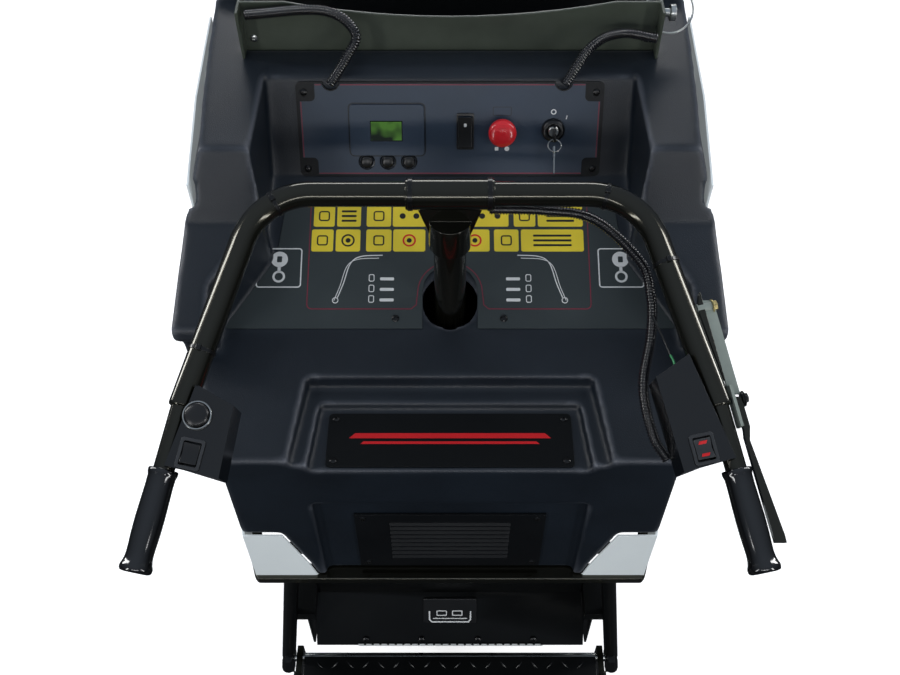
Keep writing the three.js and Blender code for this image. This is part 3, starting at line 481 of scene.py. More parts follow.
def screw(name, where, x, y, height, radius, body, material="black_steel"):
    """A button-head screw with a round socket, standing on the local plane."""
    place = where @ shift(x, y, height)
    rise = radius * 0.45
    profile = [(0, rise * 0.35), (radius * 0.34, rise * 0.35), (radius * 0.42, rise),
               (radius * 0.62, rise * 0.95),
               (radius * 0.9, rise * 0.55), (radius, 0), (0, 0)]
    return turned(name, place, profile, body, material, sides=20)


def hexagon_bolt(name, where, radius, height, body, material):
    """A bolt head with a washer, along local Z."""
    plate(name + "_head", where, circle(radius, steps=6), 1.6, 1.6 + height, body, material,
          bevel=0.5)
    turned(name + "_washer", where, [(0, 0), (radius * 1.35, 0), (radius * 1.35, 1.6), (0, 1.6)], body,
           material,
           sides=28, bevel=0.3)


# ---------------------------------------------------------------- dressing CAD nodes
def dress(node, material, bevel=1.0, segments=2, angle=35):
    """Keeps the CAD solid and gives it rounded edges, smooth round faces and a finish."""
    obj = NODES[node]
    paint(obj, material)
    obj.data.polygons.foreach_set("use_smooth", [True] * len(obj.data.polygons))
    add_modifier(obj, "WELD", merge_threshold=1e-5)
    add_modifier(obj, "DECIMATE", decimate_type="DISSOLVE", angle_limit=math.radians(1.5))
    if bevel:
        rounded_edges(obj, bevel, segments, angle)
    add_modifier(obj, "WEIGHTED_NORMAL", keep_sharp=False, weight=100)


def softened(node, name, body, material, voxel, passes, share):
    """A moulded copy of a CAD shell: remeshed, its edges melted into wide fillets, then thinned out."""
    source = NODES[node]
    copy = bpy.data.objects.new(name, source.data.copy())
    bpy.context.scene.collection.objects.link(copy)
    add_modifier(copy, "REMESH", mode="VOXEL", voxel_size=voxel * MM, use_smooth_shade=True)
    add_modifier(copy, "SMOOTH", factor=0.5, iterations=passes)
    add_modifier(copy, "DECIMATE", decimate_type="COLLAPSE", ratio=share)
    mesh = final_mesh(copy)
    copy.modifiers.clear()
    copy.data = mesh
    mesh.polygons.foreach_set("use_smooth", [True] * len(mesh.polygons))
    paint(copy, material)
    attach(copy, body)
    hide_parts(node)
    return copy


SIDES = ((-1, "left"), (1, "right"))


def side_of(x):
    return "left" if x < 0 else "right"


def corner_screws(name, where, half_x, top, base, height, radius):
    """Four screws at a sheet's corners."""
    for x in (-half_x, half_x):
        for y, row in ((top, "top"), (base, "base")):
            screw(f"{name}_{side_of(x)}_{row}", where, x, y, height, radius, "chassis")


# ---------------------------------------------------------------- moulded hood and tub
MACHINE = Matrix.Translation((0, COLUMN_Y, 0))
softened("rear_hood", "rear_hood_moulding", "chassis", "hood_plastic", 3.2, 22, 0.20)
softened("tub", "tub_moulding", "tub", "tub_plastic", 4.5, 8, 0.25)


# ---------------------------------------------------------------- sheet metal, frame and running gear
# finish, width of the rounded edges in mm, their segments and the nodes
FINISHES = (
    ("frame_paint", 1.5, 2, "chassis_frame steering_fork tub_frame cylinder_barrel"),
    ("satin_sheet", 0.6, 2, "dash_panel"),
    ("dash_overlay", 0.7, 2, "display_module"),
    ("grey_plastic", 0.6, 2, "estop_base"),
    ("console_sheet", 0.5, 2, "decal_plate"),
    ("nameplate_sheet", 0.6, 2, "nameplate"),
    ("satin_sheet", 0.5, 2, "vent_grille"),
    ("silver_paint", 0.9, 2, "side_panel_left side_panel_right"),
    ("black_paint", 3.0, 3, "rear_bumper"),
    ("frame_paint", 1.0, 2, "toe_panel"),
    ("rest_plate_reflection", 1.0, 2, "tub_rest_plate"),
    ("steel", 0.8, 2, "steering_bearing tub_hinge_pin platform_hinge_pin"),
    ("grey_plastic", 4.0, 3, "battery_pack"),
    ("grey_plastic", 2.0, 2, "motor_controller"),
    ("grey_plastic", 3.0, 2, "battery_charger"),
    ("frame_paint", 2.0, 2, "hydraulic_power_pack"),
    ("frame_paint", 2.5, 2, "drive_axle"),
    ("black_paint", 1.2, 2, "handlebar_collar platform_frame"),
    ("black_paint", 0.6, 2, "steering_column"),
    ("box_paint", 1.6, 3, "switch_box_left switch_box_right"),
    ("link_bar_painted_reflection", 0.7, 2, "lever_link_bar"),
    ("black_paint", 1.6, 3, "drive_lever"),
    ("steel", 1.2, 2, "cylinder_rod"),
    ("frame_paint", 1.2, 2, "platform_deck"),
    ("rubber", 0.9, 2, "light_rocker tub_rocker"),
    ("grey_plastic", 0.9, 2, "direction_rocker"),
    ("rubber", 1.4, 2, "charge_flap"),
    ("steel", 0.9, 2, "lock_pin"),
)
for finish, width, segments, nodes in FINISHES:
    for node in nodes.split():
        dress(node, finish, width, segments)


# ---------------------------------------------------------------- handlebar, grips and lever hardware
GRIP_START = 346
THIN_END = 452
THIN_RADIUS = 12.5
BEND_STEPS = 18


def leg_frame(side, back, outside=0.0, height=0.0):
    """Local -Y runs back along the leg, X points to the right and Z up from the bar's plane."""
    point = beside_leg(side, back, outside, height)
    return BAR @ Matrix.Translation(point * MM) @ Matrix.Rotation(side * SPLAY, 4, "Z")


def along_leg(side, back):
    """Local Z runs back along the grip."""
    return leg_frame(side, back) @ spin(90, "X")


def round_leg(side, back):
    """Local Z runs back along the thick leg."""
    return (BAR @ Matrix.Translation(on_leg(side, back) * MM) @ Matrix.Rotation(side * LEG_SPLAY, 4, "Z")
            @ spin(90, "X"))


def handlebar():
    knee = KNEE.y
    thin = [(THIN_END, THIN_RADIUS), (300, THIN_RADIUS), (knee + 2.2, THIN_RADIUS), (knee + 2, 14.2),
            (knee + 1.2, 15.3), (knee, 15.9)]
    half = [(beside_leg(1, back), radius) for back, radius in thin]
    half += [(on_leg(1, back), BAR_RADIUS) for back in (knee - 2, 200, 140, 100, BEND_BACK)]
    for step in range(1, BEND_STEPS + 1):
        angle = LEG_SPLAY + (math.pi / 2 - LEG_SPLAY) * step / BEND_STEPS
        point = Vector((BAR_STRAIGHT + BAR_BEND * math.cos(angle), -BAR_BEND + BAR_BEND * math.sin(angle), 0))
        half.append((point, BAR_RADIUS))
    mirrored = [(Vector((-point.x, point.y, 0)), radius) for point, radius in half]
    whole = mirrored + half[::-1]
    bar = swept("handlebar_tube", BAR, [point for point, _ in whole], [radius for _, radius in whole],
                "steering", "black_paint", sides=36)
    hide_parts("handlebar")


def grip(side, label):
    profile = [(13.3, 0.6), (14.5, 0), (16.8, 0), (17.5, 0.8), (17.5, 4.6), (16.9, 6.6), (16.2, 9),
               (16.0, 20),
               (16.5, 40), (16.9, 58), (16.6, 76), (15.9, 90), (15.7, 98), (16.2, 104), (17.4, 109),
               (18.7, 112),
               (19.0, 114.4), (18.6, 117.2), (17.2, 119.2), (14, 120), (0, 120), (0, 114), (13.3, 114),
               (13.3, 0.6)]
    sleeve = turned(f"grip_sleeve_{label}", along_leg(side, GRIP_START), profile, "steering", "grip_rubber",
                    sides=56, angle=50)
    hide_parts(f"grip_{label}")


def zip_tie(name, where, radius, body="steering"):
    turned(name, where, [(radius, -2.3), (radius + 1.2, -2.3), (radius + 1.2, 2.3), (radius, 2.3),
                         (radius, -2.3)],
           body, "black_steel", sides=40, bevel=0.3)
    head = where @ Matrix.Translation((0, (radius + 2.4) * MM, 0))
    plate(name + "_head", head, rectangle(6.5, 4.2, 1.0), -3.4, 3.4, body, "black_steel", bevel=0.5)


def on_bend(side, angle):
    """Local Z runs along the handlebar's bend, angle degrees round from the machine's side."""
    turn = math.radians(angle if side > 0 else 180 - angle)
    point = Vector((side * BAR_STRAIGHT + BAR_BEND * math.cos(turn), -BAR_BEND + BAR_BEND * math.sin(turn),
                    0))
    return (BAR @ Matrix.Translation(point * MM) @ Matrix.Rotation(turn, 4, "Z")
            @ spin(90, "X"))


handlebar()
grip(-1, "left")
grip(1, "right")
zip_tie("tie_bend_left", on_bend(-1, 58), BAR_RADIUS)
zip_tie("tie_bend_right", on_bend(1, 75), BAR_RADIUS)
zip_tie("tie_leg_right", round_leg(1, 92), BAR_RADIUS)
zip_tie("tie_leg_left", round_leg(-1, 203), BAR_RADIUS)
for collar_side in (-1, 1):
    collar_spot = BAR @ shift(collar_side * 50, 0)
    turned(f"collar_band_{side_of(collar_side)}",
           collar_spot @ spin(90, "Y"),
           [(20.2, -3), (21.2, -3), (21.2, 3), (20.2, 3), (20.2, -3)], "steering", "black_steel",
           sides=44, bevel=0.4)

# the bolt at the top of the silver bar and the lever's pivot bolt, both pointing straight out from the leg
outward = spin(90, "Y")
hexagon_bolt("link_bolt", leg_frame(1, 146.6, 26.2, -2) @ outward, 6.6, 5, "steering", "zinc_yellow")
hexagon_bolt("lever_bolt", leg_frame(1, 262, 29.2, 0) @ outward, 6.2, 6, "drive_lever", "black_steel")
turned("lever_washer", leg_frame(1, 262, 31.0, 0) @ outward, [(0, 0), (9.6, 0), (9.6, 1.4), (0, 1.4)],
       "drive_lever", "black_steel", sides=36, bevel=0.3)
plate("link_bracket", BAR, [tuple(beside_leg(1, 130, 15))[:2], tuple(beside_leg(1, 150, 7.8))[:2],
                            tuple(beside_leg(1, 240, 14.5))[:2], tuple(beside_leg(1, 240, 16.2))[:2],
                            tuple(beside_leg(1, 130, 16.2))[:2]][::-1], -7, 3, "steering", "black_paint",
      bevel=0.5)

conduit = ribbed("handlebar_hose", BAR, [(262, -330, -35), (246, -300, -35), (237, -240, -35),
                                         (250, -172, -34),
                                         (252, -122, -33), (240, -78, -31), (184, -22, -30), (120, -10, -29),
                                         (50, -8, -29)], 7.2, "steering")
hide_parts("handlebar_conduit")
swept("bare_wire", BAR, smooth_path([(250, -150, -26), (262, -182, -22), (268, -205, -14)]), 1.3, "steering",
      "rubber", sides=8)
swept("wire_tip", BAR, smooth_path([(268, -205, -14), (270, -212, -10), (271, -218, -8)]), 1.5, "steering",
      "green_wire", sides=8)


# ---------------------------------------------------------------- switch boxes
LID = 20.0


def frame_ring(name, where, outer, inner, low, high, body, material, bevel=0.6):
    """A flat ring between two outlines with the same number of points."""
    bm = bmesh.new()
    rows = []
    for (out_x, out_y), (in_x, in_y) in zip(outer, inner):
        rows.append([bm.verts.new((x * MM, y * MM, z * MM)) for x, y, z in
                     ((out_x, out_y, low), (out_x, out_y, high), (in_x, in_y, high), (in_x, in_y, low))])
    skin(bm, rows + rows[:1])
    return from_bmesh(name, bm, where, body, material, bevel, 2)


def horn():
    where = BAR @ Matrix.Translation(beside_leg(-1, 286, -27, LID) * MM)
    turned("horn_ring", where, [(15.2, 0.1), (17.6, 0.1), (17.6, 2.2), (16.8, 3.4), (15.6, 3.6), (15.2, 3.0),
                                (15.2, 0.1)], "steering", "steel", sides=56)
    dome = turned("horn_dome", where, [(0, -8), (10, -8), (10, 3.2), (14.2, 4.3), (14.5, 5.0), (13.9, 6.8),
                                       (11.5, 8.3), (7, 9.2), (0, 9.5)], "horn_button", "rubber",
                  sides=56,
                  angle=50)
    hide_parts("horn_button")


def rocker_bezel(name, where):
    frame_ring(name, where, rectangle(29, 36, 3.5), rectangle(21.4, 28.5, 1.6), LID + 0.05, LID + 2.6,
               "steering",
               "grey_plastic")


def rocker_marks(where):
    lean = math.radians(14.7)
    for sign, label in ((1, "front"), (-1, "rear")):
        spot = (where @ shift(0, sign * 7.2, 22.85)
                @ Matrix.Rotation(sign * lean, 4, "X"))
        plate(f"direction_mark_{label}", spot, [(-5.6, -1.8), (3.8, -1.8), (5.6, 1.8), (-3.8, 1.8)], -0.1,
              0.35,
              "direction_rocker", "red_print", bevel=0.1)


horn()
rocker_bezel("tub_rocker_bezel", leg_frame(-1, 331, -31))
rocker_bezel("direction_rocker_bezel", leg_frame(1, 325, -36))
rocker_marks(leg_frame(1, 325, -36))


# ---------------------------------------------------------------- dash
SHEET = 3.0  # the dash sheet's face
LIGHT_X = 22
STOP_X = 75
KEY_X = 149
NOTCH_Y = 69  # the half-round notches for the two conduits in the sheet's top edge
NOTCH_RADIUS = 13.5
NOTCH_LEFT = -170
NOTCH_RIGHT = 162
MARK_LOW = SHEET + 0.25
MARK_HIGH = SHEET + 0.4


def dash_overlay():
    half_x, half_y, notch_x, notch_y, round_off = 215, 66, 22, 25, 7
    outline = []
    for quarter, (sx, sy) in enumerate(((1, -1), (1, 1), (-1, 1), (-1, -1))):
        inner = [(sx * half_x, sy * (half_y - notch_y))]
        corner_x, corner_y = half_x - notch_x + round_off, half_y - notch_y + round_off
        for step in range(5):
            turn = math.radians(90 * step / 4)
            inner.append((sx * (corner_x - round_off * math.sin(turn)),
                          sy * (corner_y - round_off * math.cos(turn))))
        inner.append((sx * (half_x - notch_x), sy * half_y))
        if quarter % 2 == 0:
            inner.reverse()
        outline += inner
        if quarter == 1:
            for x in (NOTCH_RIGHT, NOTCH_LEFT):
                reach = math.sqrt(NOTCH_RADIUS ** 2 - (NOTCH_Y - half_y) ** 2)
                start = math.degrees(math.atan2(half_y - NOTCH_Y, reach))
                outline += circle(NOTCH_RADIUS, x, NOTCH_Y, 10, start, -180 - start)
    plate("dash_overlay", DASH, outline, SHEET, SHEET + 0.25, "chassis", "dash_overlay")
    edge_x, edge_y = half_x - 1.4, half_y - 1.4
    straight_x, straight_y = half_x - notch_x - 0.5, half_y - notch_y - 0.5
    runs = [[(-edge_x, -straight_y), (-edge_x, straight_y)], [(edge_x, -straight_y), (edge_x, straight_y)],
            [(-straight_x, -edge_y), (straight_x, -edge_y)],
            [(-straight_x, edge_y), (NOTCH_LEFT - NOTCH_RADIUS, edge_y)],
            [(NOTCH_LEFT + NOTCH_RADIUS, edge_y), (NOTCH_RIGHT - NOTCH_RADIUS, edge_y)],
            [(NOTCH_RIGHT + NOTCH_RADIUS, edge_y), (straight_x, edge_y)]]
    for index, run in enumerate(runs):
        line(f"dash_border_{index}", DASH, run, 1.5, MARK_LOW, MARK_HIGH, "chassis", "border_print")


def display():
    line("display_groove", DASH, rectangle(110, 77, 7, -91, 0), 1.4, SHEET + 0.2, SHEET + 0.5, "chassis",
         "black_print", closed=True)
    plate("display_window", DASH, rectangle(47, 30, 1, -92, -1), 7.0, 7.15, "chassis", "smoked_lens")
    plate("display_screen", DASH, rectangle(44, 27, 0, -92, -1), 7.15, 7.25, "chassis", "lit_screen")
    for index in range(3):
        x = -91 + (index - 1) * 31
        where = DASH @ shift(x, -47)
        cap = turned(f"menu_cap_{index + 1}", where, [(0, -6), (9.3, -6), (9.3, 5.4), (8.9, 7.2), (7.4, 8.8),
                                                      (4.6, 9.7), (0, 10)], f"menu_button_{index + 1}",
                     "rubber", sides=40, angle=50)
        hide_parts(f"menu_button_{index + 1}")
        turned(f"menu_ring_{index + 1}", where, [(10.3, 3.25), (12, 3.25), (12, 4.2), (11.2, 4.9),
                                                 (10.3, 4.6),
                                                 (10.3, 3.25)], "chassis", "black_steel",
               sides=40)


def dash_switches():
    frame_ring("light_rocker_bezel", DASH, rectangle(25, 53, 2.5, LIGHT_X, -2),
               rectangle(20.8, 45, 1.2, LIGHT_X, -2),
               SHEET + 0.26, SHEET + 3.2, "chassis", "rubber")
    plate("light_mark", DASH @ shift(LIGHT_X, 8, 8.95)
          @ spin(9.3, "X"), rectangle(4, 5.4, 1.4), -0.05, 0.2, "light_rocker",
          "white_print")
    stop = DASH @ shift(STOP_X, 0)
    head = turned("estop_head", stop, [(0, -20), (7, -20), (7, 16), (16.5, 16), (19.2, 17.6), (20, 19.6),
                                       (20, 25.4),
                                       (18.9, 28.6), (16, 31.3), (11, 33.2), (5, 34), (0, 34)],
                  "estop_button",
                  "red_plastic", sides=64, angle=50)
    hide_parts("estop_button")
    plate("stop_mark_square", DASH, rectangle(5.4, 5.4, 1, 68, -28), MARK_LOW, MARK_HIGH, "chassis",
          "white_print")
    plate("stop_mark_round", DASH, circle(3.4, 83, -28), MARK_LOW, MARK_HIGH, "chassis", "white_print")
    line("stop_legend", DASH, rectangle(26, 12, 1.5, 75, 27), 0.8, SHEET + 0.25, SHEET + 0.35, "chassis",
         "black_print", closed=True)
    line("off_mark", DASH, circle(3.2, 149, 26), 1.5, MARK_LOW, MARK_HIGH, "chassis", "white_print",
         closed=True)
    plate("on_mark", DASH @ shift(168, 18) @ spin(-12, "Z"),
          rectangle(1.4, 5.6), MARK_LOW, MARK_HIGH, "chassis", "white_print")


def key_and_switch():
    spot = DASH @ shift(KEY_X, 0)
    barrel = turned("key_barrel", spot, [(0, -30), (11, -30), (11, 3.3), (17, 3.3), (17, 6), (16.4, 9.6),
                                         (14.6, 12.8),
                                         (12.5, 14), (9.2, 14), (8.4, 13.2), (8.4, 6), (0, 6)], "chassis",
                    "rubber",
                    sides=56, angle=50)
    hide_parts("key_switch")
    plug = turned("key_plug", spot, [(0, 8), (7.4, 8), (7.4, 14.6), (6.6, 15.4), (0, 15.4)], "key", "steel",
                  sides=40)
    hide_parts("key")
    bow = spot @ shift(0, 0, 15) @ spin(90, "Y")
    plate("key_bow", bow, rectangle(24, 22, 7, -12, 0), -1.7, 1.7, "key", "rubber", bevel=0.8)
    hang = spot @ shift(1, -17, 27) @ spin(-40, "X")
    swept("key_ring", hang, hoop(9.5, 12), 0.9, "key", "steel", sides=8)
    spare = spot @ shift(1, -24, 20) @ spin(-22, "X")
    plate("spare_key_bow", spare, rectangle(2.6, 16, 1.2, 0, -4), -5, 5, "key", "steel", bevel=0.5)
    plate("spare_key_blade", spare, rectangle(2.0, 24, 0.8, 0, -23), -3, 3, "key", "steel",
          bevel=0.4)


dash_overlay()
display()
dash_switches()
key_and_switch()
corner_screws("dash_screw", DASH, 209, 54, -58, SHEET, 5.5)


# ---------------------------------------------------------------- console sheet
PRINT_LOW = 2.0
PRINT_HIGH = 2.2


def printed(name, outline, material="white_print", lift=0.0):
    plate(name, CONSOLE, outline, PRINT_LOW + lift, PRINT_HIGH + lift, "chassis", material)


def printed_line(name, points, width, material="white_print", closed=False, lift=0.0):
    line(name, CONSOLE, points, width, PRINT_LOW + lift, PRINT_HIGH + lift, "chassis", material, closed)


# Two rows of plain yellow cells: each has its left edge, its width and the simple black shape in it.
CELL_ROWS = (
    (60.5, 33.5, ((-199, 32, "square"), (-165, 36, "bars"), (-122, 37, "square"), (-84, 50, "dots"),
                  (30, 56, "dots"), (92, 33, "square"), (127, 67, "bars"))),
    (22.0, 34.5, ((-201, 33, "square"), (-166, 37, "disc"), (-122, 38, "square"), (-83, 48, "disc"),
                  (14, 44, "disc"), (63, 37, "square"), (102, 92, "bars"))),
)


def cell_shape(name, kind, x, y, width):
    if kind == "square":
        printed_line(name, rectangle(14, 14, 3, x, y), 2.0, "black_print", True, 0.2)
    elif kind == "disc":
        printed_line(name, circle(8.5, x, y), 2.4, "red_print" if abs(x) < 90 else "black_print",
                     True, 0.2)
        printed(name + "_core", circle(3.6, x, y), "black_print", 0.2)
    elif kind == "dots":
        for step in (-1, 1):
            printed(f"{name}_{step + 1}", circle(4.4, x + step * width * 0.2, y), "black_print",
                    0.2)
    else:
        for step in range(3):
            printed(f"{name}_{step}", rectangle(width * 0.6, 3.2, 1, x, y + (step - 1) * 7.5), "black_print",
                    0.2)


def yellow_cells():
    for row, (y, height, cells) in enumerate(CELL_ROWS):
        for index, (left, width, kind) in enumerate(cells):
            x = left + width / 2
            name = f"cell_{row}_{index}"
            printed(name, rectangle(width - 1.5, height, 3, x, y), "yellow_print")
            cell_shape(name + "_shape", kind, x, y, width)


def console_border():
    arch = circle(46, 0, -58, 16, 180, 0)
    path = ([(-203, 80), (-203, -76)] + circle(7, -196, -76, 4, 180, 270) + [(-55, -83), (-48, -77)] + arch
            + [(48, -77), (55, -83)] + circle(7, 193, -76, 4, 270, 360) + [(200, -76), (200, 80)])
    clean = [path[0]]
    for point in path[1:]:
        if math.dist(point, clean[-1]) > 0.5:
            clean.append(point)
    printed_line("console_border", clean, 1.3, "border_print")


def lift_marks():
    for side, label in SIDES:
        x, y = side * 245, -20.5
        printed_line(f"lift_square_{label}", rectangle(63, 59, 4, x, y), 1.8, closed=True)
        printed(f"lift_disc_{label}", circle(12, x, y + 13))
        printed(f"lift_bar_{label}", rectangle(4.5, 9, 0, x, y - 2))
        printed_line(f"lift_ring_{label}", circle(7.5, x, y - 13.5), 3.2, closed=True)
        printed(f"lift_core_{label}", rectangle(7, 9, 1, x, y + 13), "console_sheet", 0.2)


def handle_marks():
    for side, label in SIDES:
        inner = -55 if side < 0 else 55
        curve = smooth_path([(side * 97, -1, 0), (side * 128, -3, 0), (side * 143, -14, 0),
                             (side * 152, -44, 0),
                             (side * 160, -66, 0)], 6)
        printed_line(f"handle_curve_{label}", [(p.x, p.y) for p in curve], 1.4)
        second = [(p.x + inner * 0.09, p.y - 4.5) for p in curve]
        printed_line(f"handle_edge_{label}", second, 1.0)
        printed_line(f"handle_end_{label}", circle(4, side * 163, -70), 1.2, closed=True)
        for step in range(3):
            y = -36 - 16 * step
            printed_line(f"handle_key_{label}_{step}", rectangle(7, 10, 2, side * 112, y), 1.2, closed=True)
            printed(f"handle_tag_{label}_{step}", rectangle(20, 4.5, 1.5, side * 90, y - 1.5))


yellow_cells()
console_border()
lift_marks()
handle_marks()
for x in (-77, 76):
    screw(f"console_screw_{side_of(x)}", CONSOLE, x, -97, PRINT_LOW, 5.5, "chassis")


# ---------------------------------------------------------------- nameplate, vent and rear details
NAMEPLATE = tipped(-194, 883.3, 0)
corner_screws("name_screw", NAMEPLATE, 155, 33, -33, 0, 5)
plate("name_stripe_wide", NAMEPLATE, [(-136, 2), (136, 2), (128, 10), (-128, 10)], 0.02, 0.25, "chassis",
      "red_print")
plate("name_stripe_thin", NAMEPLATE, [(-120, -7), (120, -7), (116, -3), (-116, -3)], 0.02, 0.25, "chassis",
      "red_print")

VENT = facing_back(-232, 660)
for step in range(9):
    height = -49 + 13 * step
    blade = VENT @ shift(0, height, -1) @ spin(-38, "X")
    plate(f"louvre_{step}", blade, rectangle(176, 8.5), -0.6, 0.6, "chassis", "satin_sheet",
          bevel=0.3)
corner_screws("vent_screw", VENT, 126, 70, -70, 0, 5)

TOE_SLOPE = tipped(-218.4, 243.8, 55)
for index, x in enumerate((-153, -52, 51, 152)):
    screw(f"toe_screw_{index}", TOE_SLOPE, x, 0, 3.2, 5.5, "chassis")
teeth = [(-167, -12)]
for step in range(24):
    left = -167 + step * 14
    teeth += [(left, -8), (left + 10, -8), (left + 10, -10.5), (left + 14, -10.5)]
teeth += [(169, -12)]
plate("tread_strip", TOE_SLOPE, teeth, 3.4, 4.6, "chassis", "bright_strip")

FLAP = tipped(-183.6, 293.5, 55)
FLAP_FACE = 5.0
FLAP_PRINT = FLAP_FACE + 0.3
line("charge_frame", FLAP, [(-37, 0), (-37, -17), (-33, -22), (33, -22), (37, -17), (37, 0)], 2.6, FLAP_FACE,
     FLAP_PRINT,
     "charge_flap", "white_print")
for index, x in enumerate((-15, 13)):
    line(f"charge_mark_{index}", FLAP, rectangle(17, 9, 1, x, -4), 1.8, FLAP_FACE, FLAP_PRINT, "charge_flap",
         "white_print", closed=True)
plate("charge_bar", FLAP, rectangle(62, 1.8, 0.5, 0, -15), FLAP_FACE, FLAP_PRINT, "charge_flap",
      "white_print")


# ---------------------------------------------------------------- tub rest hardware and conduits
REST = facing_back(313, 1157)
for x in (-282, 282):
    screw(f"rest_screw_{side_of(x)}", REST, x, 0, 0, 6, "chassis", "steel")
left_hose = ribbed("hose_left", MACHINE, [(-286, 298, 1206), (-176, 296, 1214), (-133, 285, 1186),
                                          (-146, 262, 1160), (-170, 237, 1133)], 7.8, "chassis")
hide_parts("conduit_left")
right_hose = ribbed("hose_right", MACHINE, [(290, 278, 1182), (239, 284, 1186), (198, 272, 1172),
                                            (162, 237, 1133)], 7.8, "chassis")
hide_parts("conduit_right")
swept("lanyard_ring", MACHINE @ Matrix.Translation((0.314, 0.338, 1.188)) @ spin(40, "X"),
      hoop(34, 10), 1.5, "lock_pin", "steel", sides=10)


# ---------------------------------------------------------------- wheels
# end, tyre radius, tyre width, rim radius, tread lugs and the radius of the bolt circle
WHEELS = (
    ("front", 230, 118, 142, 26, 62),
    ("rear", 150, 66, 92, 24, 46),
)
RIM_BOLTS = 5
BOLT_FACE = 7  # from the wheel's middle plane, mm
LUG_ROOT = 9


def tyre(name, radius, width, rim, lugs, body):
    low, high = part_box(name)
    middle = (low + high) / 2
    where = Matrix.Translation(middle) @ spin(90, "Y")
    half = width / 2
    carcass = [(rim, -half * 0.8), (rim + 5, -half * 0.9), (rim + 18, -half),
               ((rim + radius) / 2, -half * 1.0),
               (radius - 22, -half * 0.98), (radius - 12, -half * 0.86), (radius - 7, -half * 0.6),
               (radius - 6, 0), (radius - 7, half * 0.6), (radius - 12, half * 0.86),
               (radius - 22, half * 0.98),
               ((rim + radius) / 2, half * 1.0), (rim + 18, half), (rim + 5, half * 0.9), (rim, half * 0.8),
               (rim, -half * 0.8)]
    ring = turned(name + "_carcass", where, carcass, body, "tyre", sides=72, angle=60)
    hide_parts(name)
    bm = bmesh.new()
    for side in (-1, 1):
        for index in range(lugs):
            base = 2 * math.pi * (index + (0.5 if side > 0 else 0)) / lugs
            rows = []
            for share, drop in ((0.04, 0.0), (0.45, 0.4), (0.82, 3.0), (0.97, 11.0)):
                across = side * half * share
                lean = base + share * 0.55 * 2 * math.pi / lugs
                wide = math.pi / lugs * 0.55
                top = radius - drop
                rows.append([
                    bm.verts.new((r * MM * math.cos(turn), r * MM * math.sin(turn), across * MM))
                    for r, turn in ((top - LUG_ROOT, lean - wide), (top, lean - wide * 0.8),
                                    (top, lean + wide * 0.8),
                                    (top - LUG_ROOT, lean + wide))
                ])
            skin(bm, rows, capped=True)
    from_bmesh(name + "_tread", bm, where, body, "tyre", bevel=1.0, segments=1, angle=30)


def rim_bolts(name, circle_radius, body, sign):
    low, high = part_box(name)
    middle = (low + high) / 2
    where = (Matrix.Translation(middle) @ spin(90 * sign, "Y")
             @ shift(0, 0, BOLT_FACE))
    for index in range(RIM_BOLTS):
        turn = 2 * math.pi * index / RIM_BOLTS
        spot = where @ Matrix.Translation((circle_radius * MM * math.cos(turn),
                                           circle_radius * MM * math.sin(turn), 0))
        hexagon_bolt(f"{name}_bolt_{index}", spot, 8, 7, body, "steel")


for wheel_side, wheel_label in SIDES:
    for end, radius, width, rim, lugs, bolt_circle in WHEELS:
        corner = f"{end}_{wheel_label}"
        tyre(corner + "_tyre", radius, width, rim, lugs, corner + "_wheel")
        dress(corner + "_rim", "grey_plastic", 2.0, 3)
        rim_bolts(corner + "_rim", bolt_circle, corner + "_wheel", wheel_side)


# ---------------------------------------------------------------- platform grip rows
deck_low, deck_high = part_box("platform_deck")
DECK_TOP = Matrix.Translation((0, 0, deck_high.z))
STUD_ROWS = 15
STUD_COLUMNS = 18
STUD_PITCH = (0.028, 0.03)  # across and along, m
STUD_TURN = 0.8  # radians, to alternate sides
bump_rows = bmesh.new()
for row in range(STUD_ROWS):
    for column in range(STUD_COLUMNS):
        stud_x = (column - (STUD_COLUMNS - 1) / 2) * STUD_PITCH[0]
        stud_y = deck_low.y + (row + 1) * STUD_PITCH[1]
        turn_by = STUD_TURN if (row + column) % 2 else -STUD_TURN
        stud = Matrix.Translation((stud_x, stud_y, 0)) @ Matrix.Rotation(turn_by, 4, "Z")
        ends = [bump_rows.verts.new(stud @ Vector((x * MM, y * MM, z * MM))) for x, y, z in
                ((-9, 0, 0), (0, -2.2, 0), (9, 0, 0), (0, 2.2, 0), (-4, 0, 1.2), (4, 0, 1.2))]
        for corner in ((0, 1, 4), (1, 5, 4), (1, 2, 5), (2, 3, 5), (3, 4, 5), (3, 0, 4), (3, 2, 1),
                       (3, 1, 0)):
            bump_rows.faces.new([ends[i] for i in corner])
from_bmesh("deck_tread", bump_rows, DECK_TOP, "platform", "frame_paint")


# ---------------------------------------------------------------- floor, light and camera
FLOOR_SIZE = 14
CAMERA_PLACE = (0, -1.316, 2.043)
CAMERA_TILT = math.radians(38)
LENS = 40.6
BACKDROP = 1.0
ROOM_LIGHT = (0.40, 0.10)  # strength of the room's light from straight above and from the horizon
ROOM_TINT = (0.80, 0.93, 1.12, 1)
LIT_SPOT = (0, -0.4, 0.9)
SOFT_BOXES = (
    ("left_box", (-2.3, 0.3, 2.0), 0.22, 2.2, 21),
    ("right_box", (2.3, 0.3, 2.0), 0.22, 2.2, 21),
    ("rear_left_box", (-1.9, -2.2, 1.5), 0.3, 1.6, 15),
    ("rear_right_box", (1.9, -2.2, 1.5), 0.3, 1.6, 15),
    ("rear_box", (0, -3.2, 2.3), 2.4, 0.18, 16),
    ("front_box", (0, 2.6, 2.4), 2.4, 0.5, 24),
)
FLOOR_TONES = ((0.84, 0.84, 0.84, 1), (0.90, 0.90, 0.90, 1))
FLOOR_BOUNCE = (0.035, 0.037, 0.040, 1)  # how bright the floor is for everything but the camera
FLOOR_GLOW = 0.75


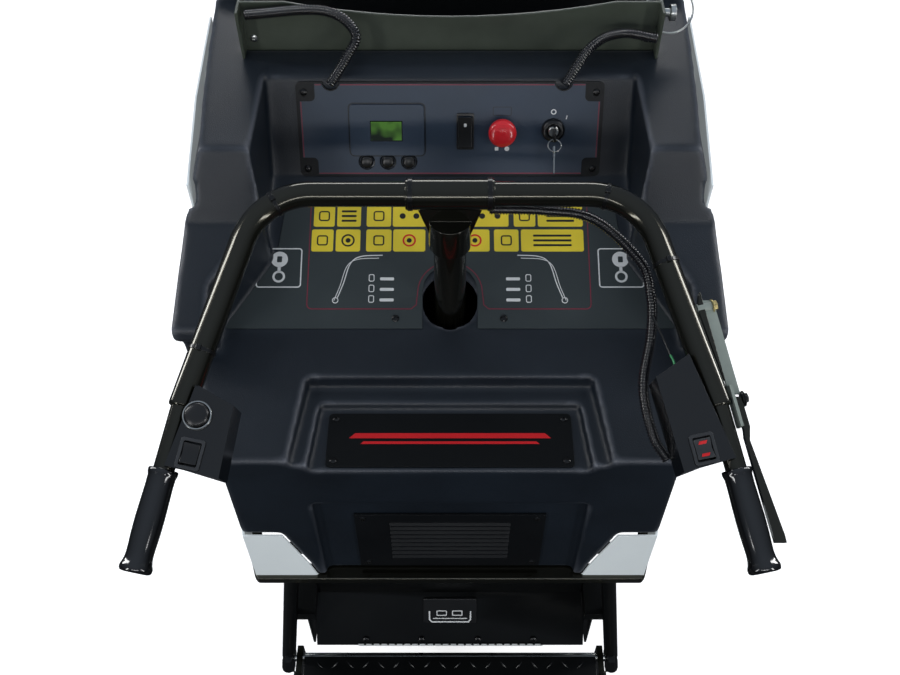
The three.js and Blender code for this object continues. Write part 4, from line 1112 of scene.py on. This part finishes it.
def floor():
    material, tree, shader = node_tree("floor_paper")
    place = add_node(tree, "ShaderNodeTexCoord")
    noise = add_node(tree, "ShaderNodeTexNoise", Scale=3.0, Detail=4.0)
    tree.links.new(place.outputs["Object"], noise.inputs["Vector"])
    ramp = add_node(tree, "ShaderNodeValToRGB")
    ramp.color_ramp.elements[0].color, ramp.color_ramp.elements[1].color = FLOOR_TONES
    tree.links.new(noise.outputs["Fac"], ramp.inputs["Fac"])
    rays = add_node(tree, "ShaderNodeLightPath")
    seen = add_node(tree, "ShaderNodeMix", data_type="RGBA")
    seen.inputs["A"].default_value = FLOOR_BOUNCE
    tree.links.new(rays.outputs["Is Camera Ray"], seen.inputs["Factor"])
    tree.links.new(ramp.outputs["Color"], seen.inputs["B"])
    tree.links.new(seen.outputs["Result"], shader.inputs["Base Color"])
    glow = add_node(tree, "ShaderNodeMapRange")
    glow.inputs["To Max"].default_value = FLOOR_GLOW
    tree.links.new(rays.outputs["Is Camera Ray"], glow.inputs["Value"])
    shader.inputs["Emission Color"].default_value = (1, 1, 1, 1)
    tree.links.new(glow.outputs["Result"], shader.inputs["Emission Strength"])
    shader.inputs["Roughness"].default_value = 0.8
    mesh = bpy.data.meshes.new("floor")
    half = FLOOR_SIZE / 2
    mesh.from_pydata([(-half, -half, 0), (half, -half, 0), (half, half, 0), (-half, half, 0)], [],
                     [(0, 1, 2, 3)])
    mesh.materials.append(material)
    plane = bpy.data.objects.new("floor", mesh)
    bpy.context.scene.collection.objects.link(plane)


def soft_box(name, place, aim, width, height, power):
    """A rectangular studio lamp at place that faces aim."""
    lamp = bpy.data.lights.new(name, "AREA")
    lamp.shape = "RECTANGLE"
    lamp.size = width
    lamp.size_y = height
    lamp.energy = power
    holder = bpy.data.objects.new(name, lamp)
    holder.location = place
    holder.rotation_euler = (Vector(place) - Vector(aim)).to_track_quat("Z", "Y").to_euler()
    bpy.context.scene.collection.objects.link(holder)


def studio():
    """A white backdrop for the camera, a room that is dark overhead for everything else, and soft boxes."""
    world = bpy.data.worlds.new("studio")
    world.use_nodes = True
    tree = world.node_tree
    rays = add_node(tree, "ShaderNodeLightPath")
    direction = add_node(tree, "ShaderNodeTexCoord")
    split = add_node(tree, "ShaderNodeSeparateXYZ")
    tree.links.new(direction.outputs["Generated"], split.inputs["Vector"])
    room = add_node(tree, "ShaderNodeMapRange")
    room.inputs["To Min"].default_value = ROOM_LIGHT[1]
    room.inputs["To Max"].default_value = ROOM_LIGHT[0]
    tree.links.new(split.outputs["Z"], room.inputs["Value"])
    strength = add_node(tree, "ShaderNodeMapRange")
    strength.inputs["To Max"].default_value = BACKDROP
    tree.links.new(room.outputs["Result"], strength.inputs["To Min"])
    tree.links.new(rays.outputs["Is Camera Ray"], strength.inputs["Value"])
    tint = add_node(tree, "ShaderNodeMix", data_type="RGBA")
    tint.inputs["A"].default_value = ROOM_TINT
    tint.inputs["B"].default_value = (1, 1, 1, 1)
    tree.links.new(rays.outputs["Is Camera Ray"], tint.inputs["Factor"])
    background = tree.nodes["Background"]
    tree.links.new(tint.outputs["Result"], background.inputs["Color"])
    tree.links.new(strength.outputs["Result"], background.inputs["Strength"])
    bpy.context.scene.world = world
    for name, place, width, height, power in SOFT_BOXES:
        soft_box(name, place, LIT_SPOT, width, height, power)
    bpy.context.scene.view_settings.view_transform = "Standard"


def camera():
    lens = bpy.data.cameras.new("camera")
    lens.lens = LENS
    holder = bpy.data.objects.new("camera", lens)
    holder.location = CAMERA_PLACE
    holder.rotation_euler = (CAMERA_TILT, 0, 0)
    bpy.context.scene.collection.objects.link(holder)
    bpy.context.scene.camera = holder


floor()
studio()
camera()
